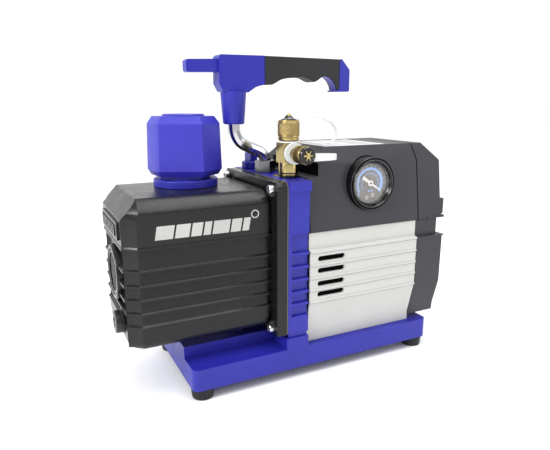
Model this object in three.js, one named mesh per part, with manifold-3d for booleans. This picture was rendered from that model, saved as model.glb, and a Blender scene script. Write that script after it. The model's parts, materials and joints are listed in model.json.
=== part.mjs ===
// A portable oil-sealed rotary vane vacuum pump, in millimetres, +Z up.
//
// X runs along the shaft: the oil casing is at the -X end, the blue centre housing is in the
// middle, and the motor under its covers is at the +X end. The intake fitting and the gauge
// face -Y. While the pieces are made, X = 0 is the joint between the centre housing and the
// motor, Y = 0 is the shaft and Z = 0 is the surface that the rubber feet stand on. At the
// end the whole pump is moved so that the origin lies under the middle of its box.

import * as THREE from 'three';
import { ConvexGeometry } from 'three/addons/geometries/ConvexGeometry.js';
import { mergeVertices } from 'three/addons/utils/BufferGeometryUtils.js';
import Module from 'manifold-3d';

const wasm = await Module();
wasm.setup();

// Driving dimensions ------------------------------------------------------------------------

const GAP = 0.3; // clearance between pieces that rest on each other

// The shaft line and the heights of the ribs that run round casing, housing and motor cover.
const SHAFT_Z = 104;
const SHAFT_AT = [0, 0, SHAFT_Z];
const RIB_LEVELS = [147, 127.3, 114, 101.3, 89, 76.8];

// The base tray.
const TRAY = { x: [-117, 153], y: [-65, 65], z: [10.9, 32], raisedZ: 43.5, wall: 4, deck: 3.5 };
const FOOT = { xs: [-105.6, 142], y: 54, radius: 11, height: 10.6, stem: 3 };

// The oil casing, a bell with a flange at its open +X end.
const CASING = {
  x: -169.3, y: [-53.5, 53.5], z: [58, 188.2],
  rib: 3, wall: 6.5, cornerX: 13.5, cornerY: 8.2,
};
const FLANGE = { x: [-32.6, -22.6], halfWidth: 64, z: [47.2, 196.4], corner: 4 };
const GASKET_X = [-22.3, -21.3];
const CASING_SCREW = { y: 55, zs: [54, 189.4], headRadius: 4.25, headLength: 5, shank: 2.5, endX: -10 };

// The centre housing that carries the pump, the motor, the intake and the handle.
const HOUSING = { x: [-21, 1], y: [-64, 64], z: [43.8, 196.4], recess: 3, recessZ: [65, 147], wallX: -9 };
const TOP_ROW_X = -9.5; // the fittings stand in a row on top of the housing
const INTAKE_X = -6; // but the intake stands a little nearer the motor

// The motor's covers.
const MOTOR_COVER = { x: [2.5, 131.6], z: [32.3, 145.5], wall: 2.5 };
const UPPER_COVER = { x: [3, 134], z: 146, ridgeZ: 225, endX: 164.8, wall: 2.5 };
const FAN_COVER = { x: [132, 168.4], z: [38.5, 127.5], wall: 2.5, neckX: 160.7, neckZ: 145.3 };
const VENT = { x: [10.5, 41.5], height: 5.3, levels: [120, 108, 94.7, 84] };

// The gauge in the front of the upper cover.
const GAUGE = { x: 72.6, z: 188.6, radius: 26.35, window: 20.3, frontY: -65, backY: -42 };

// The pump module inside the casing, and the motor.
const PUMP = { x: [-95, -21.3], outer: 38, bore: 26, offset: 3.7, rotor: 22, flat: 34, endWall: 8.7 };
const VANE = { thickness: 6, depth: 15.2, inner: 6.6 };
const MOTOR = { radius: 55.5, bore: 29.4, stack: [30, 95], shaft: 7 };

// The exhaust cap and its neck on top of the casing.
const CAP = { x: -93, y: 16, z: [199, 256], turn: -113.1 };

// The handle over the top row.
const HANDLE = { y: 11, halfWidth: 8.5, tube: 6, socketX: -43.5 };

// Materials: colour, roughness, metalness ----------------------------------------------------

function paint(color, roughness, metalness) {
  return new THREE.MeshStandardMaterial({ color, roughness, metalness });
}

const BLUE = paint('#4444be', 0.45, 0);
const BLACK_METAL = paint('#37373a', 0.42, 0.3);
const DARK_COVER = paint('#4b4b50', 0.65, 0);
const SILVER = paint('#dededa', 0.4, 0.3);
const BRASS = paint('#c8af5a', 0.3, 0.9);
const CHROME = paint('#c9c9cc', 0.12, 1);
const STEEL = paint('#b4b4b6', 0.35, 0.9);
const IRON = paint('#6a6a6c', 0.6, 0.8);
const RUBBER = paint('#1b1b1c', 0.85, 0);
const GASKET = paint('#bdbdb4', 0.8, 0);
const GLASS = paint('#dfe8ea', 0.05, 0);
const CLEAR_PLASTIC = paint('#eef1f2', 0.35, 0);
const DIAL = paint('#8b8d90', 0.6, 0);
const WHITE = paint('#f4f4f0', 0.5, 0);
const COPPER = paint('#b5683c', 0.35, 0.9);
const FELT = paint('#d8d2bd', 0.9, 0);
const CARBON = paint('#26262a', 0.5, 0);

// Solids: three.js geometry in, manifold-3d for joining and cutting -------------------------

function signedVolume(positions, triangles) {
  const corner = (n) => new THREE.Vector3().fromArray(positions, 3 * n);
  let sum = 0;
  for (let i = 0; i < triangles.length; i += 3) {
    const [a, b, c] = [corner(triangles[i]), corner(triangles[i + 1]), corner(triangles[i + 2])];
    sum += a.dot(b.cross(c)) / 6;
  }
  return sum;
}

// Turns a closed geometry into a solid with its faces pointing out.
function solid(geometry) {
  const bare = geometry.clone();
  bare.deleteAttribute('normal');
  bare.deleteAttribute('uv');
  const merged = mergeVertices(bare, 1e-4);
  const positions = new Float32Array(merged.attributes.position.array);
  const triangles = [];
  for (let i = 0; i < merged.index.count; i += 3) {
    const [a, b, c] = [0, 1, 2].map((k) => merged.index.getX(i + k));
    if (a !== b && b !== c && c !== a) triangles.push(a, b, c);
  }
  if (signedVolume(positions, triangles) < 0) triangles.reverse();
  return new wasm.Manifold(new wasm.Mesh({
    numProp: 3,
    vertProperties: positions,
    triVerts: new Uint32Array(triangles),
  }));
}

function join(first, ...others) {
  return others.reduce((whole, piece) => whole.add(piece), first);
}

function cut(whole, ...tools) {
  return tools.reduce((left, tool) => left.subtract(tool), whole);
}

function common(first, ...others) {
  return others.reduce((shared, piece) => shared.intersect(piece), first);
}

// A box between two corners.
function block([x1, x2], [y1, y2], [z1, z2]) {
  const box = new THREE.BoxGeometry(x2 - x1, y2 - y1, z2 - z1);
  return solid(box.translate((x1 + x2) / 2, (y1 + y2) / 2, (z1 + z2) / 2));
}

// Where an outline's first and second directions point, and where its bar runs.
const DIRECTIONS = {
  x: [[0, 1, 0], [0, 0, 1], [1, 0, 0]],
  y: [[-1, 0, 0], [0, 0, 1], [0, 1, 0]],
  z: [[1, 0, 0], [0, 1, 0], [0, 0, 1]],
};

function basis(axis) {
  const [first, second, along] = DIRECTIONS[axis].map((v) => new THREE.Vector3(...v));
  return new THREE.Matrix4().makeBasis(first, second, along);
}

// A bar along an axis: the outline is (y, z) for a bar along x, (x, z) along y, (x, y) along z.
function bar(outline, axis, [from, to]) {
  const shape = axis === 'y' ? mirrored(outline) : outline;
  const geometry = new THREE.ExtrudeGeometry(shape, {
    depth: to - from, bevelEnabled: false, curveSegments: 6,
  });
  return solid(geometry.translate(0, 0, from).applyMatrix4(basis(axis)));
}

function mirrored(shape) {
  return new THREE.Shape(shape.getPoints(2).map((p) => new THREE.Vector2(-p.x, p.y)).reverse());
}

// A turned piece: the profile is [radius, distance along the axis] from axis to axis, or a ring.
function turned(profile, axis, [x, y, z], sides = 20) {
  const points = profile.map(([radius, along]) => new THREE.Vector2(radius, along));
  const geometry = new THREE.LatheGeometry(points, sides);
  if (axis === 'x') geometry.rotateZ(-Math.PI / 2);
  if (axis === 'z') geometry.rotateX(Math.PI / 2);
  return solid(geometry.translate(x, y, z));
}

function cylinder(radius, axis, [from, to], centre, sides = 20) {
  return turned([[0, from], [radius, from], [radius, to], [0, to]], axis, centre, sides);
}

function ring(inner, outer, axis, [from, to], centre, sides = 20) {
  const profile = [[inner, from], [outer, from], [outer, to], [inner, to], [inner, from]];
  return turned(profile, axis, centre, sides);
}

// A tube or strip whose section follows a curve.
function along(curve, section, steps) {
  return solid(new THREE.ExtrudeGeometry(section, {
    extrudePath: curve, steps, bevelEnabled: false, curveSegments: 3,
  }));
}

function polygon(points) {
  return new THREE.Shape(points.map(([a, b]) => new THREE.Vector2(a, b)));
}

function roundedRectangle([a1, a2], [b1, b2], radius) {
  const shape = new THREE.Shape();
  shape.moveTo(a1 + radius, b1);
  shape.lineTo(a2 - radius, b1);
  shape.absarc(a2 - radius, b1 + radius, radius, -Math.PI / 2, 0);
  shape.lineTo(a2, b2 - radius);
  shape.absarc(a2 - radius, b2 - radius, radius, 0, Math.PI / 2);
  shape.lineTo(a1 + radius, b2);
  shape.absarc(a1 + radius, b2 - radius, radius, Math.PI / 2, Math.PI);
  shape.lineTo(a1, b1 + radius);
  shape.absarc(a1 + radius, b1 + radius, radius, Math.PI, Math.PI * 1.5);
  return shape;
}

function regular(count, radius, turn = 0) {
  const corners = [];
  for (let i = 0; i < count; i += 1) {
    const angle = turn + (i * 2 * Math.PI) / count;
    corners.push([radius * Math.cos(angle), radius * Math.sin(angle)]);
  }
  return polygon(corners);
}

function circle(radius) {
  return regular(10, radius);
}

function curveThrough(points) {
  return new THREE.CatmullRomCurve3(points.map((p) => new THREE.Vector3(...p)));
}

// A symmetric outline about the shaft plane from its -Y half, listed from bottom to top.
function bothSides(half) {
  const other = half.map(([y, z]) => [-y, z]).reverse();
  return polygon([...half, ...other].reverse());
}

const pump = new THREE.Group();

function add(name, shape, material) {
  const mesh = shape.getMesh();
  const geometry = new THREE.BufferGeometry();
  geometry.setAttribute('position', new THREE.BufferAttribute(mesh.vertProperties, 3));
  geometry.setIndex(new THREE.BufferAttribute(mesh.triVerts, 1));
  geometry.computeVertexNormals();
  const part = new THREE.Mesh(geometry, material);
  part.name = name;
  pump.add(part);
}

// Base tray and feet --------------------------------------------------------------------------

const FOOT_PLACES = [
  ['foot_front_left', FOOT.xs[0], -FOOT.y],
  ['foot_front_right', FOOT.xs[1], -FOOT.y],
  ['foot_rear_left', FOOT.xs[0], FOOT.y],
  ['foot_rear_right', FOOT.xs[1], FOOT.y],
];

// A low deck with a raised plateau under the casing and a raised bar under the centre housing,
// hollow from below.
function baseTray() {
  const [x1, x2] = TRAY.x;
  const [y1, y2] = TRAY.y;
  const [z1, z2] = TRAY.z;
  const { raisedZ, wall, deck } = TRAY;
  const barX = [-22.5, 1];
  const plateauY = [-37, 37];
  const inwards = ([low, high]) => [low + wall, high - wall];
  const outer = join(
    bar(roundedRectangle([x1, x2], [y1, y2], 6), 'z', [z1, z2]),
    block([x1, barX[0] + 1], plateauY, [z2 - 1, raisedZ]),
    block(barX, [y1, y2], [z2 - 1, raisedZ]),
  );
  const hollow = join(
    block(inwards([x1, x2]), inwards([y1, y2]), [z1 - 1, z2 - deck]),
    block([x1 + wall, barX[1] - wall], inwards(plateauY), [z1 - 1, raisedZ - deck]),
    block(inwards(barX), inwards([y1, y2]), [z1 - 1, raisedZ - deck]),
  );
  const bosses = FOOT_PLACES.map(([, x, y]) => cylinder(9, 'z', [z1, z2 - 1], [x, y, 0]));
  const holes = FOOT_PLACES.map(([, x, y]) => cylinder(FOOT.stem + GAP, 'z', [z1 - 1, 18], [x, y, 0], 12));
  return cut(join(cut(outer, hollow), ...bosses), ...holes);
}

function foot(x, y) {
  const top = FOOT.height;
  const profile = [
    [0, 0], [FOOT.radius - 1.8, 0], [FOOT.radius - 1, 0.8], [FOOT.radius, top],
    [FOOT.stem, top], [FOOT.stem, top + 6.4], [0, top + 6.4],
  ];
  return turned(profile, 'z', [x, y, 0], 24);
}

add('base_tray', baseTray(), BLUE);
for (const [name, x, y] of FOOT_PLACES) add(name, foot(x, y), RUBBER);

// Oil casing, gasket and screws ---------------------------------------------------------------

// The casing's outer form, drawn in by an inset, running to a chosen +X end.
function casingForm(inset, endX) {
  const x1 = CASING.x;
  const [y1, y2] = CASING.y;
  const [z1, z2] = CASING.z;
  const a = x1 + inset;
  const plan = polygon([
    [endX, y1 + inset], [endX, y2 - inset],
    [a + CASING.cornerX, y2 - inset], [a + 5, y2 - inset - CASING.cornerY * 0.55],
    [a, y2 - inset - CASING.cornerY],
    [a, y1 + inset + CASING.cornerY], [a + 5, y1 + inset + CASING.cornerY * 0.55],
    [a + CASING.cornerX, y1 + inset],
  ]);
  const across = polygon([
    [y1 + 6.5 + inset, z1 + inset], [y2 - 6.5 - inset, z1 + inset],
    [y2 - inset, z1 + 6.5 + inset], [y2 - inset, 179.2 - inset * 0.6],
    [47 - inset * 0.4, z2 - inset], [-41 + inset * 0.6, z2 - inset],
    [y1 + inset, 179.2 - inset * 0.6], [y1 + inset, z1 + 6.5 + inset],
  ]);
  const side = polygon([
    [a + 5, z1 + inset], [endX, z1 + inset], [endX, z2 - inset],
    [-154.4 + inset * 0.7, z2 - inset], [a + 1.3, 174 - inset * 0.4],
    [a, 172 - inset * 0.4], [a, z1 + 8 + inset],
  ]);
  return common(
    bar(plan, 'z', [z1 - 5, z2 + 5]),
    bar(across, 'x', [x1 - 5, endX]),
    bar(side, 'y', [y1 - 5, y2 + 5]),
  );
}

const SIGHT = { y: 0, z: 115, hole: 21.2, boss: 25.9, faceX: -170.9, glass: 17.7 };
const DRAIN = { y: -25, z: 76, hole: 5.3, boss: 11 };
const NECK_HOLE = 24.6;

function oilCasing() {
  const everyX = [-200, 0];
  const everyY = [-100, 100];
  const insideFlange = FLANGE.x[0] + 2;
  const form = casingForm(0, insideFlange);
  const walls = casingForm(CASING.rib, insideFlange);
  const bands = RIB_LEVELS.slice(1, -1).map((level) => block(everyX, everyY, [level - 1.9, level + 1.9]));
  bands.push(block(everyX, everyY, [RIB_LEVELS[0] - 1.9, 250]));
  bands.push(block(everyX, everyY, [0, RIB_LEVELS[5] + 1.9]));
  const c = FLANGE.corner;
  const [f1, f2] = FLANGE.z;
  const w = FLANGE.halfWidth;
  const flangeOutline = polygon([[-w, f1], [w, f1], [w, f2 - c], [w - c, f2], [c - w, f2], [-w, f2 - c]]);
  const flange = bar(flangeOutline, 'x', FLANGE.x);
  const ribs = bands.map((band) => common(form, band));
  const boss = cylinder(SIGHT.boss, 'x', [SIGHT.faceX, CASING.x + 8], [0, SIGHT.y, SIGHT.z], 28);
  const drainBoss = cylinder(DRAIN.boss, 'x', [CASING.x - 0.8, CASING.x + 8], [0, DRAIN.y, DRAIN.z], 24);
  const cavity = casingForm(CASING.wall, 0);
  const outer = join(walls, ...ribs, flange, boss, drainBoss);
  const screwHoles = casingScrewPlaces().map(([y, z]) => cylinder(2.9, 'x', [-40, -20], [0, y, z], 16));
  return cut(
    outer, cavity, ...screwHoles,
    cylinder(SIGHT.hole, 'x', [-180, -150], [0, SIGHT.y, SIGHT.z], 28),
    cylinder(DRAIN.hole, 'x', [-180, -150], [0, DRAIN.y, DRAIN.z], 16),
    cylinder(NECK_HOLE, 'z', [170, 200], [CAP.x, CAP.y, 0], 32),
  );
}

function casingScrewPlaces() {
  return CASING_SCREW.zs.flatMap((z) => [-CASING_SCREW.y, CASING_SCREW.y].map((y) => [y, z]));
}

function gasket() {
  const w = FLANGE.halfWidth - 0.2;
  const outline = polygon([[-w, 48], [w, 48], [w, 192.5], [w - 4, 196.2], [4 - w, 196.2], [-w, 192.5]]);
  const window = polygon([[-47, 64], [47, 64], [47, 176], [-47, 176]]);
  const holes = casingScrewPlaces().map(([y, z]) => cylinder(2.9, 'x', [-30, -15], [0, y, z], 16));
  return cut(bar(outline, 'x', GASKET_X), bar(window, 'x', [-30, -15]), ...holes);
}

// A socket-head screw whose head bears on the flange.
function casingScrew(y, z) {
  const headEnd = FLANGE.x[0] - GAP;
  const headStart = headEnd - CASING_SCREW.headLength;
  const r = CASING_SCREW.headRadius;
  const profile = [
    [0, headStart], [r - 0.6, headStart], [r, headStart + 0.6], [r, headEnd],
    [CASING_SCREW.shank, headEnd], [CASING_SCREW.shank, CASING_SCREW.endX], [0, CASING_SCREW.endX],
  ];
  const socket = bar(regular(6, 2.3), 'x', [headStart - 1, headStart + 2.6]);
  const placed = turned(profile, 'x', [0, 0, 0], 16);
  return cut(placed, socket).translate([0, y, z]);
}

// A threaded ring sunk in the casing's boss, with a seat for the glass.
function sightGlassBezel() {
  const face = SIGHT.faceX + 0.6;
  return turned([
    [SIGHT.glass + GAP, face], [SIGHT.hole - 1, face], [SIGHT.hole - GAP, face + 0.7],
    [SIGHT.hole - GAP, face + 8], [15.5, face + 8], [15.5, face + 5], [SIGHT.glass + GAP, face + 5],
    [SIGHT.glass + GAP, face],
  ], 'x', [0, SIGHT.y, SIGHT.z], 28);
}

function sightGlass() {
  const seat = SIGHT.faceX + 5.6 - GAP;
  return cylinder(SIGHT.glass, 'x', [seat - 4, seat], [0, SIGHT.y, SIGHT.z], 28);
}

function drainPlug() {
  const seat = CASING.x - 0.8 - GAP;
  const profile = [
    [0, seat - 4.2], [3.8, seat - 4.2], [4.6, seat - 5.4], [9.6, seat - 5.4], [10.4, seat - 4.6],
    [10.4, seat], [5, seat], [5, seat + 9], [0, seat + 9],
  ];
  return turned(profile, 'x', [0, DRAIN.y, DRAIN.z], 24);
}

add('oil_casing', oilCasing(), BLACK_METAL);
add('casing_gasket', gasket(), GASKET);
casingScrewPlaces().forEach(([y, z], i) => add(`casing_screw_${i + 1}`, casingScrew(y, z), STEEL));
add('sight_glass_bezel', sightGlassBezel(), BLACK_METAL);
add('sight_glass', sightGlass(), GLASS);
add('drain_plug', drainPlug(), COPPER);

// Exhaust neck, cap and mist filter -----------------------------------------------------------

function exhaustNeck() {
  const seat = CASING.z[1] + GAP;
  return turned([
    [19, seat - 9], [24.2, seat - 9], [24.2, seat], [31, seat], [31, seat + 6.2], [30, seat + 7.2],
    [24.1, seat + 7.2], [24.1, seat + 28], [19, seat + 28], [19, seat - 9],
  ], 'z', [CAP.x, CAP.y, 0]);
}

// One level of the cap: three wide facets, and between them three lobes with narrow strips
// beside them. A facet is given by its distance from the axis and its half width, and a lobe's
// edges by their radius and their angle from the middle of the lobe.
function capLevel(z, [distance, halfWidth], [radius, spread]) {
  const points = [];
  for (let i = 0; i < 3; i += 1) {
    const facet = THREE.MathUtils.degToRad(CAP.turn + 120 * i);
    const lobe = facet + Math.PI / 3;
    const half = THREE.MathUtils.degToRad(spread);
    for (const side of [-1, 1]) {
      points.push(new THREE.Vector3(
        distance * Math.cos(facet) - side * halfWidth * Math.sin(facet),
        distance * Math.sin(facet) + side * halfWidth * Math.cos(facet),
        z,
      ));
      const angle = lobe + side * half;
      points.push(new THREE.Vector3(radius * Math.cos(angle), radius * Math.sin(angle), z));
    }
  }
  return points;
}

// A three-sided cap with chamfers, a raised round top and a hollow underside.
function exhaustCap() {
  const [z1, z2] = CAP.z;
  const facets = solid(new ConvexGeometry([
    ...capLevel(z1, [26.4, 18.7], [31.6, 23.7]),
    ...capLevel(z1 + 5.5, [29.6, 20.2], [34.7, 14.9]),
    ...capLevel(z2 - 8.6, [28.4, 19.4], [33.2, 14.9]),
    ...capLevel(z2 - 1.9, [23.8, 17.6], [29.6, 23.3]),
  ]));
  const crown = turned(
    [[0, z2 - 8], [20, z2 - 8], [20, z2 - 1], [19, z2], [0, z2]],
    'z',
    [0, 0, 0],
    28,
  );
  const hollow = turned(
    [[0, z1 - 1], [24.8, z1 - 1], [24.8, z2 - 18], [19, z2 - 8], [0, z2 - 8]],
    'z',
    [0, 0, 0],
  );
  return cut(join(facets, crown), hollow).translate([CAP.x, CAP.y, 0]);
}

add('exhaust_neck', exhaustNeck(), BLUE);
add('exhaust_cap', exhaustCap(), BLUE);
add('exhaust_filter', ring(9, 21, 'z', [143, 178.5], [CAP.x, CAP.y, 0]), FELT);

// Centre housing ------------------------------------------------------------------------------

// The pieces on the housing's top row, by their place across the pump.
const TOP_ROW = { intake: -34, plug: -18, nut: HANDLE.y, ballast: 47 };
const SEAL = { outer: 15, shaft: 9, x: [-16, -4] };

function centreHousing() {
  const [x1, x2] = HOUSING.x;
  const [y1, y2] = HOUSING.y;
  const [z1, z2] = HOUSING.z;
  const body = block([x1, x2], [y1, y2], [z1 + 4, z2]);
  const foot = block([x1 + 1, x2 - 1], [y1 + 1, y2 - 1], [z1, z1 + 5]);
  const crown = block([x1, x2 + 1.3], [y1 - 1, y2 + 1], [187, z2]);
  const boss = cylinder(20, 'x', [HOUSING.wallX, -3], [0, 0, SHAFT_Z]);
  const pocket = block([HOUSING.wallX, x2 + 5], [y1 + 9, y2 - 9], [z1 + 12, 184]);
  const recesses = [y1, y2].map((y) => {
    const inner = y - Math.sign(y) * HOUSING.recess;
    return block(
      [x1 + 3.5, x2 + 5],
      [Math.min(y, inner) - 0.01, Math.max(y, inner) + 0.01],
      HOUSING.recessZ,
    );
  });
  const ribs = RIB_LEVELS.slice(1).map((level) => block([x1 + 2, x2], [y1, y2], [level - 1.4, level + 1.4]));
  const outer = join(cut(join(body, foot, crown), ...recesses), ...ribs);
  const spigots = [
    cylinder(6.4, 'z', [187.5, z2 + 1], [INTAKE_X, TOP_ROW.intake, 0], 24),
    cylinder(3.3, 'z', [189, z2 + 1], [TOP_ROW_X, TOP_ROW.plug, 0], 16),
    cylinder(HANDLE.tube + GAP, 'z', [186.5, z2 + 1], [TOP_ROW_X, TOP_ROW.nut, 0], 24),
    cylinder(4.3, 'z', [187.5, z2 + 1], [TOP_ROW_X, TOP_ROW.ballast, 0], 16),
  ];
  const screwHoles = casingScrewPlaces().map(([y, z]) => cylinder(2.9, 'x', [-25, -9.5], [0, y, z], 16));
  const tubePort = cylinder(2.9, 'x', [-1.5, 5], [0, TOP_ROW.intake, 190.5], 12);
  return cut(
    join(cut(outer, pocket), boss), ...spigots, ...screwHoles, tubePort,
    cylinder(SEAL.shaft + 0.8, 'x', [-30, 0], [0, 0, SHAFT_Z], 24),
    cylinder(SEAL.outer + GAP, 'x', [SEAL.x[0] - GAP, 0], [0, 0, SHAFT_Z], 32),
  );
}

add('centre_housing', centreHousing(), BLUE);

// Intake fitting, its caps and their tethers --------------------------------------------------

const INTAKE = { seat: 196.7, stem: 9.4, squareZ: [210.5, 229.5], half: 9, neck: 5, thread: 6.3, bore: 2.6 };
const BRANCH_Z = 220;
const TOP_CAP_Z = [231.6, 250.4];
const FRONT_CAP_Y = [-54, -69.4];

function intakeFitting() {
  const y = TOP_ROW.intake;
  const at = [INTAKE_X, y, 0];
  const [s1, s2] = INTAKE.squareZ;
  const stem = turned([
    [0, 188], [6, 188], [6, INTAKE.seat + 1.6], [8, INTAKE.seat + 1.6], [8, INTAKE.seat + 2.6],
    [INTAKE.stem, INTAKE.seat + 2.6], [INTAKE.stem, s1], [0, s1],
  ], 'z', at, 24);
  const square = block(
    [INTAKE_X - INTAKE.half, INTAKE_X + INTAKE.half], [y - INTAKE.half, y + INTAKE.half], [s1 - 0.01, s2],
  );
  const topPort = turned([
    [0, s2 - 1], [INTAKE.neck, s2 - 1], [INTAKE.neck, TOP_CAP_Z[0] + 3], [INTAKE.thread, TOP_CAP_Z[0] + 3],
    [INTAKE.thread, TOP_CAP_Z[1] - 6], [4, TOP_CAP_Z[1] - 4], [0, TOP_CAP_Z[1] - 4],
  ], 'z', at, 24);
  const branch = turned([
    [0, y - 8], [7.4, y - 8], [7.4, -44.3], [INTAKE.neck, -44.3], [INTAKE.neck, FRONT_CAP_Y[0] - 3],
    [INTAKE.thread, FRONT_CAP_Y[0] - 3], [INTAKE.thread, FRONT_CAP_Y[1] + 5], [4, FRONT_CAP_Y[1] + 3.5],
    [0, FRONT_CAP_Y[1] + 3.5],
  ].reverse(), 'y', [INTAKE_X, 0, BRANCH_Z], 24);
  const bores = [
    cylinder(INTAKE.bore, 'z', [180, 270], at, 12),
    cylinder(INTAKE.bore, 'y', [-90, y], [INTAKE_X, 0, BRANCH_Z], 12),
  ];
  return cut(join(stem, square, topPort, branch), ...bores);
}

// A flared cap: open at its first station and closed, but for the tether button's hole, at its last.
function flareCap(outer, [open, closed], axis, at) {
  const s = Math.sign(closed - open);
  const profile = [
    [INTAKE.thread + 0.4, open], [outer - 1, open], [outer, open + s], [outer, closed - 1.5 * s],
    [outer - 1.5, closed], [2.4, closed], [2.4, closed - 3 * s], [INTAKE.thread + 0.4, closed - 3 * s],
    [INTAKE.thread + 0.4, open],
  ];
  return turned(profile, axis, at, 24);
}

// The button that clips a tether's end to its cap.
function tetherButton(headRadius, seat, direction, tip, axis, at) {
  const s = direction;
  return turned([
    [0, seat - 2.4 * s], [2, seat - 2.4 * s], [2, seat + 1.9 * s], [headRadius, seat + 1.9 * s],
    [headRadius - 0.8, seat + 3 * s], [2.4, seat + 3.6 * s], [1.9, seat + tip * s], [0, seat + tip * s],
  ], axis, at, 20);
}

// A flat strap on edge: a thin outline along a curve in a plane.
function ribbon(path, thickness, samples) {
  const curve = new THREE.SplineCurve(path.map(([a, b]) => new THREE.Vector2(a, b)));
  const side = (sign) => curve.getPoints(samples).map((p, i) => {
    const tangent = curve.getTangent(i / samples);
    return [p.x - (sign * tangent.y * thickness) / 2, p.y + (sign * tangent.x * thickness) / 2];
  });
  return polygon([...side(1).reverse(), ...side(-1)]);
}

// A tether: a strap that joins a disc on the fitting's neck to a small one under its button.
function tether(strap, discs, holes) {
  return cut(join(strap, ...discs), ...holes);
}

function topTether() {
  const y = TOP_ROW.intake;
  const at = [INTAKE_X, y, 0];
  const z = TOP_CAP_Z[1] + 0.9;
  const path = [
    [INTAKE_X + 5, z], [11, z + 0.4], [25, z + 1.2], [37, 249.5], [45, 244], [47.6, 237.5],
    [45.4, 231], [37.5, 227.8], [26, 227], [14, 228.6], [INTAKE_X + 9, 230.4],
  ];
  return tether(
    bar(ribbon(path, 1.2, 26), 'y', [y - 1.7, y + 1.7]),
    [cylinder(6, 'z', [z - 0.6, z + 0.6], at, 20), cylinder(10.6, 'z', [229.8, 231], at, 24)],
    [cylinder(2.4, 'z', [z - 3, z + 3], at, 16), cylinder(INTAKE.neck + 0.4, 'z', [225, 236], at, 20)],
  );
}

function frontTether() {
  const at = [INTAKE_X, 0, BRANCH_Z];
  const y = FRONT_CAP_Y[1] - 0.9;
  const path = [
    [INTAKE_X + 5, y], [8, y], [20, y + 0.8], [27, -66], [28.5, -61], [24, -56.5], [13, -51],
    [INTAKE_X + 8, -46],
  ];
  return tether(
    bar(ribbon(path, 1.2, 20), 'z', [BRANCH_Z - 5.2, BRANCH_Z]),
    [cylinder(6, 'y', [y - 0.6, y + 0.6], at, 20), cylinder(10.25, 'y', [-47.4, -44.7], at, 24)],
    [cylinder(2.4, 'y', [y - 3, y + 3], at, 16), cylinder(INTAKE.neck + 0.4, 'y', [-52, -42], at, 20)],
  );
}

const INTAKE_AT = [INTAKE_X, TOP_ROW.intake, 0];
const BRANCH_AT = [INTAKE_X, 0, BRANCH_Z];
add('intake_fitting', intakeFitting(), BRASS);
add('intake_seal', ring(6.5, 8.6, 'z', [INTAKE.seat, INTAKE.seat + 1.3], INTAKE_AT, 24), RUBBER);
add('top_cap', flareCap(10.5, TOP_CAP_Z, 'z', INTAKE_AT), BRASS);
add('top_cap_button', tetherButton(6, TOP_CAP_Z[1], 1, 6.2, 'z', INTAKE_AT), RUBBER);
add('front_cap', flareCap(8.5, FRONT_CAP_Y, 'y', BRANCH_AT), BRASS);
add('front_cap_button', tetherButton(7.2, FRONT_CAP_Y[1], -1, 3.9, 'y', BRANCH_AT), RUBBER);
add('top_tether', topTether(), CLEAR_PLASTIC);
add('front_tether', frontTether(), CLEAR_PLASTIC);

// The small plug, the ballast knob and the handle ----------------------------------------------

function oilPlug() {
  const seat = HOUSING.z[1] + GAP;
  return turned(
    [[0, 190], [2.9, 190], [2.9, seat], [4.8, seat], [4.8, seat + 2.6], [4, seat + 3.4], [0, seat + 3.4]],
    'z', [TOP_ROW_X, TOP_ROW.plug, 0], 20,
  );
}

function ballastKnob() {
  const seat = HOUSING.z[1] + GAP;
  const at = [TOP_ROW_X, TOP_ROW.ballast, 0];
  const disc = turned([
    [0, 188.5], [4, 188.5], [4, seat], [9.6, seat], [10.2, seat + 0.8], [10.2, seat + 6.6],
    [9.2, seat + 7.6], [0, seat + 7.6],
  ], 'z', at, 24);
  const fin = block(
    [TOP_ROW_X - 4, TOP_ROW_X + 4],
    [TOP_ROW.ballast - 8, TOP_ROW.ballast + 8],
    [seat + 7, seat + 19],
  );
  return join(disc, fin);
}

function handleNut() {
  const seat = HOUSING.z[1] + GAP;
  const hexagon = bar(regular(6, 10.6, Math.PI / 6), 'z', [seat, seat + 12]);
  const chamfer = turned(
    [[0, seat], [9.8, seat], [10.6, seat + 0.9], [10.6, seat + 11.1], [9.8, seat + 12], [0, seat + 12]],
    'z',
    [0, 0, 0],
    30,
  );
  const bore = cylinder(HANDLE.tube + GAP, 'z', [190, 220], [0, 0, 0], 24);
  return cut(common(hexagon, chamfer), bore).translate([TOP_ROW_X, TOP_ROW.nut, 0]);
}

// A solid bar of round section that cranks towards -X between the nut and the handle's socket.
function handleTube() {
  const { y, socketX } = HANDLE;
  const points = [
    [TOP_ROW_X, y, 187], [TOP_ROW_X, y, 198], [TOP_ROW_X, y, 208.8], [-12.5, y, 215.2], [-20, y, 219.6],
    [-29, y, 223], [-37.5, y, 228], [-42.6, y, 236.5], [socketX, y, 247], [socketX, y, 284.5],
  ];
  return along(curveThrough(points), circle(HANDLE.tube), 28);
}

// The bar of the handle's core that runs through the grip, with an all-round clearance.
function gripBar(c) {
  return polygon(
    [[-16, 293.5 - c], [54, 297.5 - c], [66, 293.5 - c], [75, 286 - c], [75, 305 + c], [-16, 305 + c]],
  );
}

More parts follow.
